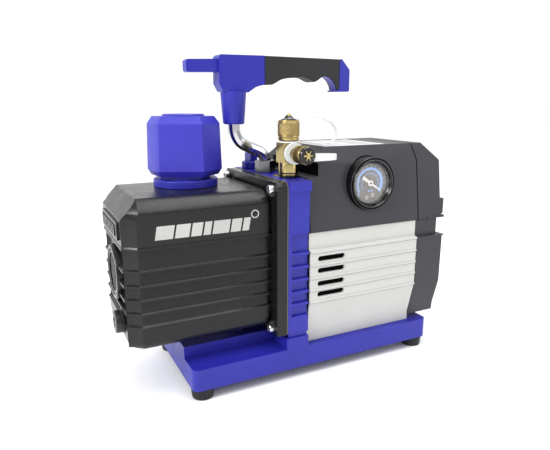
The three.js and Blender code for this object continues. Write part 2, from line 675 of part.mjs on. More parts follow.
// The handle's core: a block with a prong and a socket, and a bar inside the grip to the tip.
function handleCore() {
  const { y, halfWidth, socketX } = HANDLE;
  const width = [y - halfWidth, y + halfWidth];
  const head = polygon([
    [-58.6, 310.4], [-60.4, 308.6], [-60.8, 284], [-56.8, 276.5], [-31, 276], [-27.4, 278.2], [-23, 281.1],
    [-16.4, 282.9], [-13.4, 283.6], [-13.6, 310.8],
  ]);
  const prong = polygon(
    [[-91.6, 304], [-91.6, 295.4], [-90, 293.9], [-59, 294.6], [-59, 306.6], [-90, 305.4]],
  );
  const tip = polygon([
    [73.6, 310.3], [76, 310.6], [85.8, 300], [86, 279], [85, 277.6], [69.5, 277.4], [69.5, 279.2],
    [73.6, 279.3],
  ]);
  const socket = turned(
    [[0, 245.8], [9.8, 245.8], [10.6, 247.2], [12.8, 277], [0, 277]], 'z', [socketX, y, 0], 28,
  );
  const bore = cylinder(HANDLE.tube + GAP, 'z', [240, 285], [socketX, y, 0], 20);
  const core = join(
    bar(head, 'y', width),
    bar(prong, 'y', [y - 5.5, y + 5.5]),
    bar(gripBar(0), 'y', [y - 4.5, y + 4.5]),
    bar(tip, 'y', width),
    socket,
  );
  return cut(core, bore);
}

// The soft grip, with finger hollows underneath and a hook at its end.
function handleGrip() {
  const { y, halfWidth } = HANDLE;
  const outline = polygon([
    [-13, 310.7], [73.3, 310.3], [73.3, 279.6], [71.2, 279.5], [70.4, 283], [67.5, 288], [63, 292],
    [57, 293.6],
    [52, 292], [47.5, 288.8], [43.5, 286.8], [39, 288.2], [34, 290.6], [29, 291.4], [19.6, 290.9],
    [10, 289.8],
    [4.2, 288.4], [-1, 285.5], [-5, 283.6], [-13, 283.4],
  ]);
  const tunnel = bar(gripBar(GAP), 'y', [y - 4.5 - GAP, y + 4.5 + GAP]);
  return cut(bar(outline, 'y', [y - halfWidth, y + halfWidth]), tunnel);
}

add('oil_plug', oilPlug(), BRASS);
add('gas_ballast_knob', ballastKnob(), BLUE);
add('handle_nut', handleNut(), CHROME);
add('handle_tube', handleTube(), CHROME);
add('handle_core', handleCore(), BLUE);
add('handle_grip', handleGrip(), CARBON);

// Motor covers --------------------------------------------------------------------------------

// Half outline of the lower covers at a distance inside the outer skin.
function lowerHalf(inset, bottom) {
  return [
    [-57 + inset, bottom], [-57 + inset, 43], [-65 + inset, 76], [-65 + inset, 128], [-61.5 + inset, 129.2],
    [-61.5 + inset, 145.5],
  ];
}

function motorCover() {
  const [x1, x2] = MOTOR_COVER.x;
  const [z1, z2] = MOTOR_COVER.z;
  const t = MOTOR_COVER.wall;
  const skin = bar(bothSides(lowerHalf(0, z1)), 'x', [x1, x2]);
  const hollow = bar(
    bothSides([...lowerHalf(t, z1 + 3).slice(0, 5), [-61.5 + t, z2 + 5]]),
    'x',
    [x1 - 1, x2 + 1],
  );
  const beads = RIB_LEVELS.slice(1).map((level) => {
    const bead = block([x1, x2], [-66, 66], [level - 1, level + 1]);
    return cut(bead, block([x1 - 1, x2 + 1], [-64, 64], [0, 200]));
  });
  const cradle = cut(
    block([MOTOR.stack[0] + 8, MOTOR.stack[1] - 8], [-32, 32], [z1 + 2.9, 62]),
    cylinder(MOTOR.radius + GAP, 'x', [0, 130], SHAFT_AT, 24),
  );
  const vents = VENT.levels.map((level) => {
    const slot = roundedRectangle(
      VENT.x,
      [level - VENT.height / 2, level + VENT.height / 2],
      VENT.height / 2 - 0.05,
    );
    return bar(slot, 'y', [-80, 80]);
  });
  return cut(join(cut(skin, hollow), ...beads, cradle), ...vents);
}

// Half outline of the upper covers.
function upperHalf(inset) {
  return [
    [-63 + inset, UPPER_COVER.z], [-54.5 + inset, 208.3 - inset * 0.4],
    [-43.5 + inset * 0.4, UPPER_COVER.ridgeZ - inset],
  ];
}

function upperShell([x1, x2], side) {
  const outer = common(bar(bothSides(upperHalf(0)), 'x', [x1, x2]), bar(polygon(side(0)), 'y', [-80, 80]));
  const inner = common(
    bar(
      bothSides([[-63 + UPPER_COVER.wall, UPPER_COVER.z - 1], ...upperHalf(UPPER_COVER.wall).slice(1)]),
      'x',
      [x1 - 9, x2 + 9],
    ),
    bar(polygon(side(UPPER_COVER.wall)), 'y', [-80, 80]),
  );
  return [outer, inner];
}

function upperCover() {
  const [x1, x2] = UPPER_COVER.x;
  const top = UPPER_COVER.ridgeZ;
  const side = (t) => [
    [x1 + t, 120], [x2 + 20, 120], [x2 + 20, top + 9 - 10 * Math.sign(t)],
    [27.8 + t * 0.5, top + 9 - 10 * Math.sign(t)],
    [27.8 + t * 0.5, top - t], [14.3 + t, 211.5 - t * 0.4], [14.3 + t, 198.3 - t], [x1 + t, 198.3 - t],
  ];
  const [outer, inner] = upperShell([x1, x2], side);
  const openEnd = common(inner, block([0, x2 + 9], [-80, 80], [100, top - UPPER_COVER.wall]));
  const gaugeHole = cylinder(GAUGE.radius + GAP, 'y', [-80, -40], [GAUGE.x, 0, GAUGE.z], 28);
  const tubeHole = cylinder(3.2, 'x', [0, 10], [0, TOP_ROW.intake, 190.5], 16);
  return cut(outer, openEnd, gaugeHole, tubeHole);
}

const INLET = { y: 12, z: 186, half: [15, 12], depth: 16 };
const SWITCH = { y: -22, z: 186, half: [11, 8] };

function upperEndCover() {
  const x1 = UPPER_COVER.x[1] + GAP;
  const x2 = UPPER_COVER.endX;
  const top = UPPER_COVER.ridgeZ;
  const side = (t) => [
    [x1 - 9 * Math.sign(t), 120], [x2 - t, 120], [x2 - t, 206.5 - t * 0.4], [147.6 - t * 0.4, top - t],
    [x1 - 9 * Math.sign(t), top - t],
  ];
  const [outer, inner] = upperShell([x1, x2], side);
  const lip = bar(
    bothSides([[-63.6, UPPER_COVER.z], [-63.4, UPPER_COVER.z + 2.5]]),
    'x',
    [x1 + 12, x2 + 4.5],
  );
  const ledge = block([x2 - 1, x2 + 5.6], [-60, 60], [149, 166]);
  const body = cut(join(outer, lip, ledge), inner, block([x1 + 2, x2 - 2.6], [-60, 60], [140, 150]));
  const openings = [
    block([140, 200], [INLET.y - 13.5, INLET.y + 13.5], [INLET.z - 10, INLET.z + 10]),
    block([140, 200], [SWITCH.y - 10, SWITCH.y + 10], [SWITCH.z - 7, SWITCH.z + 7]),
  ];
  return cut(body, ...openings);
}

// The lower end cover: a tapering shell, a lip, a narrower neck above it, and an air grille.
function fanCover() {
  const [x1, x2] = FAN_COVER.x;
  const [z1, z2] = FAN_COVER.z;
  const t = FAN_COVER.wall;
  const half = (inset) => [
    [-58 + inset, z1 + inset], [-58.4 + inset, 47], [-65.2 + inset, 75], [-65.2 + inset, z2 - 1.3],
  ];
  const side = (inset) => polygon([
    [x1 - 9 * Math.sign(inset), z1 + inset], [165.5 - inset, z1 + inset], [166.6 - inset, 75],
    [166.8 - inset, z2 - 1.3], [x1 - 9 * Math.sign(inset), z2 - 1.3],
  ]);
  const shell = (inset) => common(
    bar(bothSides(half(inset)), 'x', [x1 - 9 * Math.sign(inset), x2]),
    bar(side(inset), 'y', [-80, 80]),
  );
  const lip = block([x1, x2], [-65.8, 65.8], [z2 - 1.31, z2 + 0.2]);
  const neck = block([x1, FAN_COVER.neckX], [-61.5, 61.5], [z2, FAN_COVER.neckZ]);
  const neckHollow = block(
    [x1 - 9, FAN_COVER.neckX - t], [-61.5 + t, 61.5 - t], [z2 - 5, FAN_COVER.neckZ + 5],
  );
  const grille = [];
  for (let z = 62; z <= 120; z += 11) grille.push(block([150, 180], [-42, 42], [z - 2.2, z + 2.2]));
  return cut(join(shell(0), lip, neck), shell(t), neckHollow, ...grille);
}

add('motor_cover', motorCover(), SILVER);
add('upper_cover', upperCover(), DARK_COVER);
add('upper_end_cover', upperEndCover(), DARK_COVER);
add('fan_cover', fanCover(), DARK_COVER);

// Power inlet and switch ----------------------------------------------------------------------

function powerInlet() {
  const x = UPPER_COVER.endX + GAP;
  const [a, b] = INLET.half;
  const flange = block([x, x + 2.4], [INLET.y - a, INLET.y + a], [INLET.z - b, INLET.z + b]);
  const body = block([x - 18, x + 1], [INLET.y - 13.2, INLET.y + 13.2], [INLET.z - 9.7, INLET.z + 9.7]);
  const socket = block(
    [x + 2.4 - INLET.depth, x + 4],
    [INLET.y - 11.5, INLET.y + 11.5],
    [INLET.z - 8, INLET.z + 8],
  );
  return cut(join(flange, body), socket);
}

function switchRocker() {
  const x = UPPER_COVER.endX;
  const rocker = polygon([
    [x - 8, SWITCH.z - 5.6], [x + 1.2, SWITCH.z - 6.2], [x + 0.4, SWITCH.z], [x + 2.6, SWITCH.z + 6.2],
    [x - 8, SWITCH.z + 5.6],
  ]);
  return bar(rocker, 'y', [SWITCH.y - 9, SWITCH.y + 9]);
}

add('power_inlet', powerInlet(), CARBON);
add('switch_rocker', switchRocker(), CARBON);

// Gauge ---------------------------------------------------------------------------------------

function gaugeCase() {
  const { radius, window, frontY, backY } = GAUGE;
  return turned([
    [0, backY], [20, backY], [22, backY - 3], [radius, backY - 5], [radius, frontY + 1.2],
    [radius - 1.2, frontY],
    [window + 1.8, frontY], [window, frontY + 1.8], [window, frontY + 8.2], [0, frontY + 8.2],
  ], 'y', [GAUGE.x, 0, GAUGE.z], 28);
}

function gaugeDial() {
  const face = GAUGE.frontY + 6.4;
  return ring(1.2, GAUGE.window - GAP, 'y', [face, face + 1.2], [GAUGE.x, 0, GAUGE.z], 28);
}

// The pointer, its tip at four o'clock, on a pin that passes through the dial.
function gaugeNeedle() {
  const face = GAUGE.frontY + 6.4;
  const blade = polygon([[-12, -1.5], [0, -0.8], [15.5, -0.25], [15.5, 0.25], [0, 0.8], [-12, 1.5]]);
  const hub = cylinder(2, 'y', [face - 1.8, face - 0.5], [0, 0, 0], 16);
  const pin = cylinder(0.8, 'y', [face - 1, face + 1.6], [0, 0, 0], 10);
  const pointer = join(bar(blade, 'y', [face - 1.6, face - 0.9]), hub, pin);
  return pointer.rotate([0, 35, 0]).translate([GAUGE.x, 0, GAUGE.z]);
}

function gaugeTube() {
  const y = TOP_ROW.intake;
  const path = [
    [0.6, y, 190.5], [8, y, 190.5], [24, y + 1, 190], [44, y + 2, 188.8], [60, y, 188.6],
    [69, y - 2.5, 188.6],
    [GAUGE.x, y - 6, 188.6], [GAUGE.x, GAUGE.backY + GAP, 188.6],
  ];
  return along(curveThrough(path), regular(8, 2.4), 22);
}

add('gauge_case', gaugeCase(), CARBON);
add('gauge_dial', gaugeDial(), DIAL);
add('gauge_needle', gaugeNeedle(), WHITE);
add(
  'gauge_glass',
  cylinder(GAUGE.window - GAP, 'y', [GAUGE.frontY + 2.4, GAUGE.frontY + 3.8], [GAUGE.x, 0, GAUGE.z], 28),
  GLASS,
);
add('gauge_tube', gaugeTube(), COPPER);

// Pump module ---------------------------------------------------------------------------------

function pumpCylinder() {
  const [x1, x2] = PUMP.x;
  const outer = cylinder(PUMP.outer, 'x', [x1, x2], SHAFT_AT, 24);
  const bore = cylinder(PUMP.bore, 'x', [x1 - 1, x2 - PUMP.endWall], [0, 0, SHAFT_Z - PUMP.offset], 28);
  const shaftHole = cylinder(SEAL.shaft + 0.4, 'x', [x2 - 20, x2 + 1], SHAFT_AT, 24);
  const valveFlat = block([x1 - 1, x2 + 1], [-40, 40], [SHAFT_Z + PUMP.flat, SHAFT_Z + 60]);
  const port = block([-72, -54], [10, 14], [SHAFT_Z + 20, SHAFT_Z + 60]);
  return cut(outer, bore, shaftHole, valveFlat, port);
}

function pumpRotor() {
  const x1 = PUMP.x[0] + GAP;
  const x2 = PUMP.x[1] - PUMP.endWall - GAP;
  const journal = SEAL.shaft;
  const drum = turned([
    [0, x1 - 8], [6, x1 - 8], [6, x1], [PUMP.rotor, x1], [PUMP.rotor, x2], [journal, x2], [journal, 9],
    [0, 9],
  ], 'x', SHAFT_AT, 24);
  const slotHalf = VANE.thickness / 2 + 0.2;
  const inner = VANE.inner - GAP;
  const slots = [[inner, 30], [-30, -inner]].map((y) => (
    block([x1 + 1.5, x2 - 1.5], y, [SHAFT_Z - slotHalf, SHAFT_Z + slotHalf])
  ));
  const springHole = cylinder(2.8, 'y', [-12, 12], [(x1 + x2) / 2, 0, SHAFT_Z], 16);
  const socket = cylinder(MOTOR.shaft + GAP, 'x', [-10, 10], SHAFT_AT, 24);
  return cut(drum, ...slots, springHole, socket);
}

function vane(direction) {
  const x = [PUMP.x[0] + GAP + 1.8, PUMP.x[1] - PUMP.endWall - GAP - 1.8];
  const span = [VANE.inner, VANE.inner + VANE.depth].map((y) => y * direction).sort((a, b) => a - b);
  return block(x, span, [SHAFT_Z - VANE.thickness / 2, SHAFT_Z + VANE.thickness / 2]);
}

// A coil spring between the two vanes.
class Helix extends THREE.Curve {
  constructor(radius, length, turns) {
    super();
    Object.assign(this, { radius, length, turns });
  }

  getPoint(t, target = new THREE.Vector3()) {
    const angle = t * this.turns * 2 * Math.PI;
    return target.set(
      this.radius * Math.cos(angle),
      (t - 0.5) * this.length,
      this.radius * Math.sin(angle),
    );
  }
}

function vaneSpring() {
  const x = (PUMP.x[0] + PUMP.x[1] - PUMP.endWall) / 2;
  return along(new Helix(1.9, 2 * VANE.inner - 1.6, 4), regular(5, 0.4), 36).translate([x, 0, SHAFT_Z]);
}

function pumpEndPlate() {
  const x = PUMP.x[0] - GAP;
  return ring(6.3, PUMP.outer, 'x', [x - 7.5, x], SHAFT_AT, 24);
}

const valveSeat = SHAFT_Z + PUMP.flat + GAP;
add('pump_cylinder', pumpCylinder(), IRON);
add('pump_end_plate', pumpEndPlate(), IRON);
add('pump_rotor', pumpRotor(), STEEL);
add('vane_1', vane(1), CARBON);
add('vane_2', vane(-1), CARBON);
add('vane_spring', vaneSpring(), STEEL);
add('exhaust_valve', block([-76, -50], [6, 18], [valveSeat, valveSeat + 1.4]), STEEL);
add('shaft_seal', ring(SEAL.shaft + 0.4, SEAL.outer, 'x', SEAL.x, SHAFT_AT), RUBBER);

// Motor ---------------------------------------------------------------------------------------

// An end shield: a disc with a bearing seat and a rim that reaches the stator.
function endShield([disc1, disc2], stackEnd) {
  const rimEnd = stackEnd < disc1 ? stackEnd + GAP : stackEnd - GAP;
  const rim = [Math.min(disc1, rimEnd), Math.max(disc2, rimEnd)];
  const disc = cylinder(MOTOR.radius - 1, 'x', [disc1, disc2], SHAFT_AT, 24);
  const seat = cylinder(20, 'x', [disc1 - 4, disc2 + 2], SHAFT_AT, 24);
  const hole = cylinder(15 + GAP, 'x', [disc1 - 9, disc2 + 9], SHAFT_AT, 24);
  return cut(join(disc, seat, ring(MOTOR.radius - 5, MOTOR.radius - 1, 'x', rim, SHAFT_AT, 24)), hole);
}

function motorStator() {
  const [x1, x2] = MOTOR.stack;
  const stack = ring(MOTOR.bore, MOTOR.radius, 'x', [x1, x2], SHAFT_AT, 24);
  const coils = ring(MOTOR.bore + 4, MOTOR.radius - 9, 'x', [x1 - 6, x2 + 6], SHAFT_AT, 24);
  return join(stack, coils);
}

function motorRotor() {
  return ring(
    MOTOR.shaft + GAP,
    MOTOR.bore - 0.4,
    'x',
    [MOTOR.stack[0] + 1, MOTOR.stack[1] - 1],
    SHAFT_AT,
    24,
  );
}

function coolingFan() {
  const middle = 136;
  const hub = ring(MOTOR.shaft + GAP, 14, 'x', [middle - 10, middle + 10], SHAFT_AT, 24);
  const blade = block([-9, 9], [-1, 1], [11, 46]).rotate([0, 0, 28]);
  const blades = [];
  for (let i = 0; i < 7; i += 1) {
    blades.push(blade.rotate([(i * 360) / 7, 0, 0]).translate([middle, 0, SHAFT_Z]));
  }
  return cut(join(hub, ...blades), cylinder(MOTOR.shaft + GAP, 'x', [100, 170], SHAFT_AT, 24));
}

add('front_shield', endShield([14, 19], MOTOR.stack[0]), SILVER);
add('rear_shield', endShield([106, 111], MOTOR.stack[1]), SILVER);
add('front_bearing', ring(MOTOR.shaft + GAP, 15, 'x', [11, 20], SHAFT_AT), STEEL);
add('rear_bearing', ring(MOTOR.shaft + GAP, 15, 'x', [103, 112], SHAFT_AT), STEEL);
add('motor_stator', motorStator(), COPPER);
add('motor_rotor', motorRotor(), STEEL);
add('motor_shaft', cylinder(MOTOR.shaft, 'x', [-9, 150], SHAFT_AT, 24), STEEL);
add('cooling_fan', coolingFan(), CARBON);
add('run_capacitor', cylinder(17, 'x', [36, 104], [0, 24, 186]), CARBON);

// The origin lies on the floor, under the middle of the whole pump.
const extent = new THREE.Box3().setFromObject(pump);
const centre = extent.getCenter(new THREE.Vector3());
pump.position.set(-centre.x, -centre.y, -extent.min.z);
pump.updateMatrixWorld(true);

export default pump;
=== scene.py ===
"""Looks for the rotary vane vacuum pump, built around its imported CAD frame."""
import json
import math

import bmesh
import bpy
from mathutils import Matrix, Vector


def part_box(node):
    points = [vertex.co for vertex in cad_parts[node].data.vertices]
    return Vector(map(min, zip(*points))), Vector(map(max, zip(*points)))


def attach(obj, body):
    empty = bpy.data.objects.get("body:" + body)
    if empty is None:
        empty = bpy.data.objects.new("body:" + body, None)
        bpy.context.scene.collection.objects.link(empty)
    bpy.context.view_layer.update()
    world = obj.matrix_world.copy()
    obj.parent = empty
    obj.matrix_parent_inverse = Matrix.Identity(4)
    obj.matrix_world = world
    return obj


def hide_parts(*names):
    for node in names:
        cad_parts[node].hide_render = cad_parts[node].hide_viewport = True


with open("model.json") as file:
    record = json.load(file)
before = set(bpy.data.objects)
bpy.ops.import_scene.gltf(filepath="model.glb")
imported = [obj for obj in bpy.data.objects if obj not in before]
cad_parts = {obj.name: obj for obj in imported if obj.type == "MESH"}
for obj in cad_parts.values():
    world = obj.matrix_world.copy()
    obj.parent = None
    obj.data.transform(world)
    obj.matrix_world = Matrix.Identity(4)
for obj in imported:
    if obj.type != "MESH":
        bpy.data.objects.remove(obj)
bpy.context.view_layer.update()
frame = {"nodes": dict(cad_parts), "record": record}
NODES = frame["nodes"]
BODY_OF = {n: b for b, ns in frame["record"]["behaviour"]["bodies"].items() for n in ns}

# All sizes below are in millimetres from the joint between the centre housing and the motor
# (X), the shaft (Y) and the floor (Z). The tray's corner tells where that point is.
TRAY_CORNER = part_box("base_tray")[0] * 1000
SHIFT = Vector((TRAY_CORNER.x + 117, TRAY_CORNER.y + 65, 0))


def P(x, y, z):
    """A point in millimetres, as a place in the row frame in metres."""
    return (Vector((x, y, z)) + SHIFT) / 1000


# Materials -----------------------------------------------------------------------------------

class Shader:
    """Short ways to build a node material. Coordinates are the object's, in millimetres."""

    def __init__(self, name):
        self.mat = bpy.data.materials.new(name)
        self.mat.use_nodes = True
        self.tree = self.mat.node_tree
        self.tree.nodes.clear()
        self.out = self.tree.nodes.new("ShaderNodeOutputMaterial")
        self.bsdf = self.tree.nodes.new("ShaderNodeBsdfPrincipled")
        self.tree.links.new(self.bsdf.outputs[0], self.out.inputs["Surface"])
        coords = self.tree.nodes.new("ShaderNodeTexCoord")
        self.coords = coords.outputs["Object"]

    def node(self, kind, *links, **values):
        made = self.tree.nodes.new(kind)
        for key, value in values.items():
            if key.startswith("in_"):
                made.inputs[int(key[3:]) if key[3:].isdigit() else key[3:].replace("_", " ")].default_value = value
            else:
                setattr(made, key, value)
        for socket, source in links:
            self.tree.links.new(source, made.inputs[socket])
        return made

    def set(self, **values):
        for key, value in values.items():
            self.bsdf.inputs[key.replace("_", " ")].default_value = value
        return self

    def stretched(self, scale):
        """The coordinates in millimetres, divided by a size in millimetres for each axis."""
        size = scale if isinstance(scale, (tuple, list)) else (scale,) * 3
        mapping = self.node("ShaderNodeMapping", ("Vector", self.coords))
        mapping.inputs["Scale"].default_value = [1000 / s for s in size]
        return mapping.outputs[0]

    def noise(self, size, detail=2.0, roughness=0.55):
        made = self.node("ShaderNodeTexNoise", ("Vector", self.stretched(size)))
        made.inputs["Scale"].default_value = 1.0
        made.inputs["Detail"].default_value = detail
        made.inputs["Roughness"].default_value = roughness
        return made.outputs["Fac"]

    def ramp(self, source, low, high, to_low=0.0, to_high=1.0):
        made = self.node("ShaderNodeMapRange", ("Value", source))
        made.inputs["From Min"].default_value = low
        made.inputs["From Max"].default_value = high
        made.inputs["To Min"].default_value = to_low
        made.inputs["To Max"].default_value = to_high
        return made.outputs[0]

    def maths(self, operation, a, b):
        made = self.node("ShaderNodeMath", operation=operation)
        for k, value in enumerate((a, b)):
            if isinstance(value, (int, float)):
                made.inputs[k].default_value = value
            else:
                self.tree.links.new(value, made.inputs[k])
        return made.outputs[0]

    def mix(self, factor, a, b):
        made = self.node("ShaderNodeMix", data_type="RGBA")
        self.tree.links.new(factor, made.inputs[0])
        for socket, value in ((made.inputs[6], a), (made.inputs[7], b)):
            if isinstance(value, tuple):
                socket.default_value = (*value, 1.0)
            else:
                self.tree.links.new(value, socket)
        return made.outputs[2]

    def colour(self, source):
        self.tree.links.new(source, self.bsdf.inputs["Base Color"])
        return self

    def rough(self, source):
        self.tree.links.new(source, self.bsdf.inputs["Roughness"])
        return self

    def bump(self, source, depth_mm):
        made = self.node("ShaderNodeBump", ("Height", source))
        made.inputs["Strength"].default_value = 1.0
        made.inputs["Distance"].default_value = depth_mm / 1000
        self.tree.links.new(made.outputs[0], self.bsdf.inputs["Normal"])
        return self


def scaled(rgb, factor):
    return tuple(min(1.0, c * factor) for c in rgb)


def moulded(name, rgb, rough, grain=0.45, depth=0.02, vary=0.06, specular=0.5):
    """Moulded plastic or powder coat: fine grain, soft colour drift and uneven gloss."""
    s = Shader(name)
    drift = s.ramp(s.noise(38, 3), 0.3, 0.7)
    base = s.mix(drift, scaled(rgb, 1 - vary), scaled(rgb, 1 + vary))
    s.colour(base)
    fine = s.noise(grain, 3, 0.6)
    smudge = s.noise((14, 14, 22), 4, 0.6)
    uneven = s.ramp(smudge, 0.3, 0.75, -0.05, 0.06)
    s.rough(s.maths("ADD", uneven, s.ramp(fine, 0.3, 0.7, rough - 0.03, rough + 0.03)))
    s.bump(fine, depth)
    s.set(Specular_IOR_Level=specular)
    return s.mat


def metal(name, rgb, rough, streak=(0.2, 0.2, 9.0), depth=0.006, vary=0.08, stain=None):
    """Machined or polished metal: fine tool streaks, uneven gloss and a little tarnish."""
    s = Shader(name)
    s.set(Metallic=1.0)
    lines = s.noise(streak, 3, 0.7)
    cloud = s.ramp(s.noise(7, 4, 0.6), 0.35, 0.7)
    base = s.mix(cloud, scaled(rgb, 1 + vary), scaled(rgb, 1 - vary))
    if stain:
        spots = s.ramp(s.noise(3.2, 5, 0.7), 0.56, 0.78, 0.0, 0.6)
        base = s.mix(spots, base, stain)
    s.colour(base)
    streaks = s.ramp(lines, 0.2, 0.8, rough * 0.75, rough * 1.25)
    s.rough(s.maths("ADD", streaks, s.ramp(cloud, 0, 1, 0.0, 0.05)))
    s.bump(lines, depth)
    return s.mat


BLUE_RGB = (0.018, 0.019, 0.30)
M = {
    "blue": moulded("blue_plastic", BLUE_RGB, 0.38, grain=0.7, depth=0.02, specular=0.36),
    "blue_housing": moulded("blue_paint", BLUE_RGB, 0.34, grain=0.5, depth=0.01, specular=0.36),
    "casting": moulded("black_casting", (0.007, 0.007, 0.0075), 0.27, grain=0.5, depth=0.005, vary=0.12, specular=0.31),
    "cover": moulded("dark_cover", (0.027, 0.026, 0.032), 0.46, grain=0.55, depth=0.03, vary=0.06, specular=0.4),
    "needle": moulded("needle_paint", (0.80, 0.78, 0.72), 0.45, grain=0.3, depth=0.003, vary=0.02),
    # Near-black painted shade, for the shaded insides seen through holes and slots, the cover's notch and the seam's
    # groove.
    "painted_shade": moulded("painted_shade_black", (0.0015, 0.0015, 0.0016), 0.9, grain=0.8, depth=0.02, vary=0.2, specular=0.05),
    # A darker brass for the knurls' grooves: painted shade.
    "brass_groove_shade": metal("brass_groove_shade", (0.20, 0.145, 0.055), 0.4, vary=0.12),
    "bead_shadow": moulded("bead_shadow", (0.24, 0.24, 0.25), 0.5, grain=0.4, depth=0.004, vary=0.06),
    "bezel": moulded("gauge_bezel", (0.004, 0.004, 0.0045), 0.16, grain=0.6, depth=0.004, vary=0.1, specular=0.6),
    "nut_steel": metal("nut_steel", (0.20, 0.20, 0.205), 0.22, streak=(0.3, 0.3, 3.0), vary=0.1),
    "cap_blue": moulded("cap_blue", (0.024, 0.022, 0.36), 0.42, grain=0.9, depth=0.09, vary=0.08),
    "label": moulded("top_label", (0.62, 0.62, 0.63), 0.3, grain=0.5, depth=0.003, vary=0.03),
    "print_grey": moulded("print_grey", (0.30, 0.30, 0.31), 0.4, grain=0.4, depth=0.003, vary=0.05),
    "silver": moulded("silver_paint", (0.51, 0.51, 0.49), 0.33, grain=0.35, depth=0.006, vary=0.02),
    "plastic": moulded("black_plastic", (0.007, 0.007, 0.008), 0.34, grain=0.4, depth=0.012, vary=0.1),
    "grip": moulded("grip_rubber", (0.016, 0.016, 0.018), 0.58, grain=0.35, depth=0.03, vary=0.08, specular=0.35),
    "rubber": moulded("foot_rubber", (0.008, 0.008, 0.009), 0.6, grain=0.8, depth=0.04, vary=0.15, specular=0.35),
    "gasket": moulded("gasket_paper", (0.13, 0.125, 0.11), 0.8, grain=0.25, depth=0.03, vary=0.12, specular=0.2),
    "brass": metal("brass", (0.46, 0.355, 0.15), 0.24, stain=(0.27, 0.20, 0.08)),
    "brass_bright": metal("brass_turned", (0.50, 0.40, 0.17), 0.15, streak=(9.0, 9.0, 0.12)),
    "chrome": metal("chrome", (0.50, 0.50, 0.52), 0.08, streak=(2.0, 2.0, 2.0), depth=0.002, vary=0.03),
    "steel": metal("steel", (0.66, 0.66, 0.67), 0.26, streak=(4.0, 0.15, 0.15), vary=0.06),
    "iron": metal("cast_iron", (0.20, 0.20, 0.205), 0.45, streak=(0.9, 0.9, 0.9), depth=0.03, vary=0.15),
    "copper": metal("copper", (0.70, 0.30, 0.14), 0.28, streak=(0.4, 0.4, 0.4), vary=0.1),
    "white": moulded("white_paint", (0.85, 0.85, 0.83), 0.4, grain=0.3, depth=0.004, vary=0.02),
    "pale_print": moulded("pale_print", (0.44, 0.44, 0.42), 0.5, grain=0.5, depth=0.02, vary=0.06),
    "dial": moulded("gauge_dial", (0.17, 0.162, 0.152), 0.5, grain=0.3, depth=0.004, vary=0.04),
    "dial_blue": moulded("dial_blue", (0.30, 0.46, 0.85), 0.5, grain=0.3, depth=0.002, vary=0.04),
    "felt": moulded("filter_felt", (0.6, 0.56, 0.44), 0.9, grain=0.6, depth=0.1, vary=0.1, specular=0.1),
}


def glass(name, tint, base_alpha, strength=0.9):
    """Clear glass as a thin mirror whose strength grows at grazing angles."""
    s = Shader(name)
    s.set(Base_Color=(*tint, 1), Metallic=1.0, Roughness=0.04)
    facing = s.node("ShaderNodeLayerWeight").outputs["Facing"]
    smear = s.ramp(s.noise(9, 3), 0.3, 0.8, base_alpha, base_alpha + 0.02)
    grazing = s.maths("POWER", facing, 5.0)
    s.tree.links.new(s.maths("ADD", s.maths("MULTIPLY", grazing, strength), smear), s.bsdf.inputs["Alpha"])
    return s.mat


def milky(name):
    """Translucent strap plastic."""
    s = Shader(name)
    drift = s.ramp(s.noise(6, 3), 0.3, 0.7)
    s.colour(s.mix(drift, (0.72, 0.73, 0.72), (0.78, 0.79, 0.79)))
    s.rough(s.ramp(s.noise(5, 2), 0.3, 0.7, 0.24, 0.32))
    s.set(Transmission_Weight=0.1, IOR=1.3)
    return s.mat


M["glass"] = glass("gauge_glass", (1.0, 0.99, 0.97), 0.03)
M["sight"] = glass("sight_glass", (0.9, 0.95, 0.93), 0.005, 0.2)
M["milky"] = milky("clear_plastic")


# Mesh helpers --------------------------------------------------------------------------------

def finish_mesh(obj, material, sharp=32):
    """Gives a piece its material, and smooth shading except across sharp edges."""
    mesh = obj.data
    mesh.materials.clear()
    mesh.materials.append(material)
    bm = bmesh.new()
    bm.from_mesh(mesh)
    limit = math.radians(sharp)
    for face in bm.faces:
        face.smooth = True
    for edge in bm.edges:
        edge.smooth = len(edge.link_faces) != 2 or edge.calc_face_angle(0) < limit
    bm.to_mesh(mesh)
    bm.free()
    normals = obj.modifiers.new("normals", "WEIGHTED_NORMAL")
    normals.keep_sharp = True
    normals.weight = 70
    return obj


def new_object(name, bm, material, sharp=32):
    mesh = bpy.data.meshes.new(name)
    bm.normal_update()
    bm.to_mesh(mesh)
    bm.free()
    obj = bpy.data.objects.new(name, mesh)
    bpy.context.collection.objects.link(obj)
    return finish_mesh(obj, material, sharp)


def place(obj, node, replace=True):
    """The piece rides on its node's body, and the node's CAD mesh is hidden when the piece replaces it."""
    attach(obj, BODY_OF[node])
    if replace:
        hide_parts(node)
    return obj


def bevel_edges(bm, width_mm, segments=2, angle=28):
    """Rounds every edge sharper than an angle."""
    limit = math.radians(angle)
    edges = [e for e in bm.edges if len(e.link_faces) == 2 and e.calc_face_angle(0) > limit]
    if edges:
        bmesh.ops.bevel(
            bm, geom=edges, offset=width_mm / 1000, offset_type="OFFSET", segments=segments,
            profile=0.6, affect="EDGES", clamp_overlap=True, miter_outer="SHARP", miter_inner="SHARP",
        )


def cad_bmesh(node):
    """A welded copy of a CAD node's mesh, with its flat faces joined up."""
    bm = bmesh.new()
    bm.from_mesh(NODES[node].data)
    bmesh.ops.remove_doubles(bm, verts=bm.verts, dist=2e-6)
    bmesh.ops.dissolve_limit(bm, angle_limit=math.radians(0.6), verts=bm.verts, edges=bm.edges)
    bm.normal_update()
    return bm


def soften(node, material, width_mm, segments, angle=28, sharp=32):
    """A piece with the CAD node's shape and rounded edges."""
    bm = cad_bmesh(node)
    if width_mm:
        bevel_edges(bm, width_mm, segments, angle)
    obj = new_object(node + "_skin", bm, material, sharp)
    return place(obj, node)


# Solid builders: points are in millimetres in the pump's own frame ---------------------------

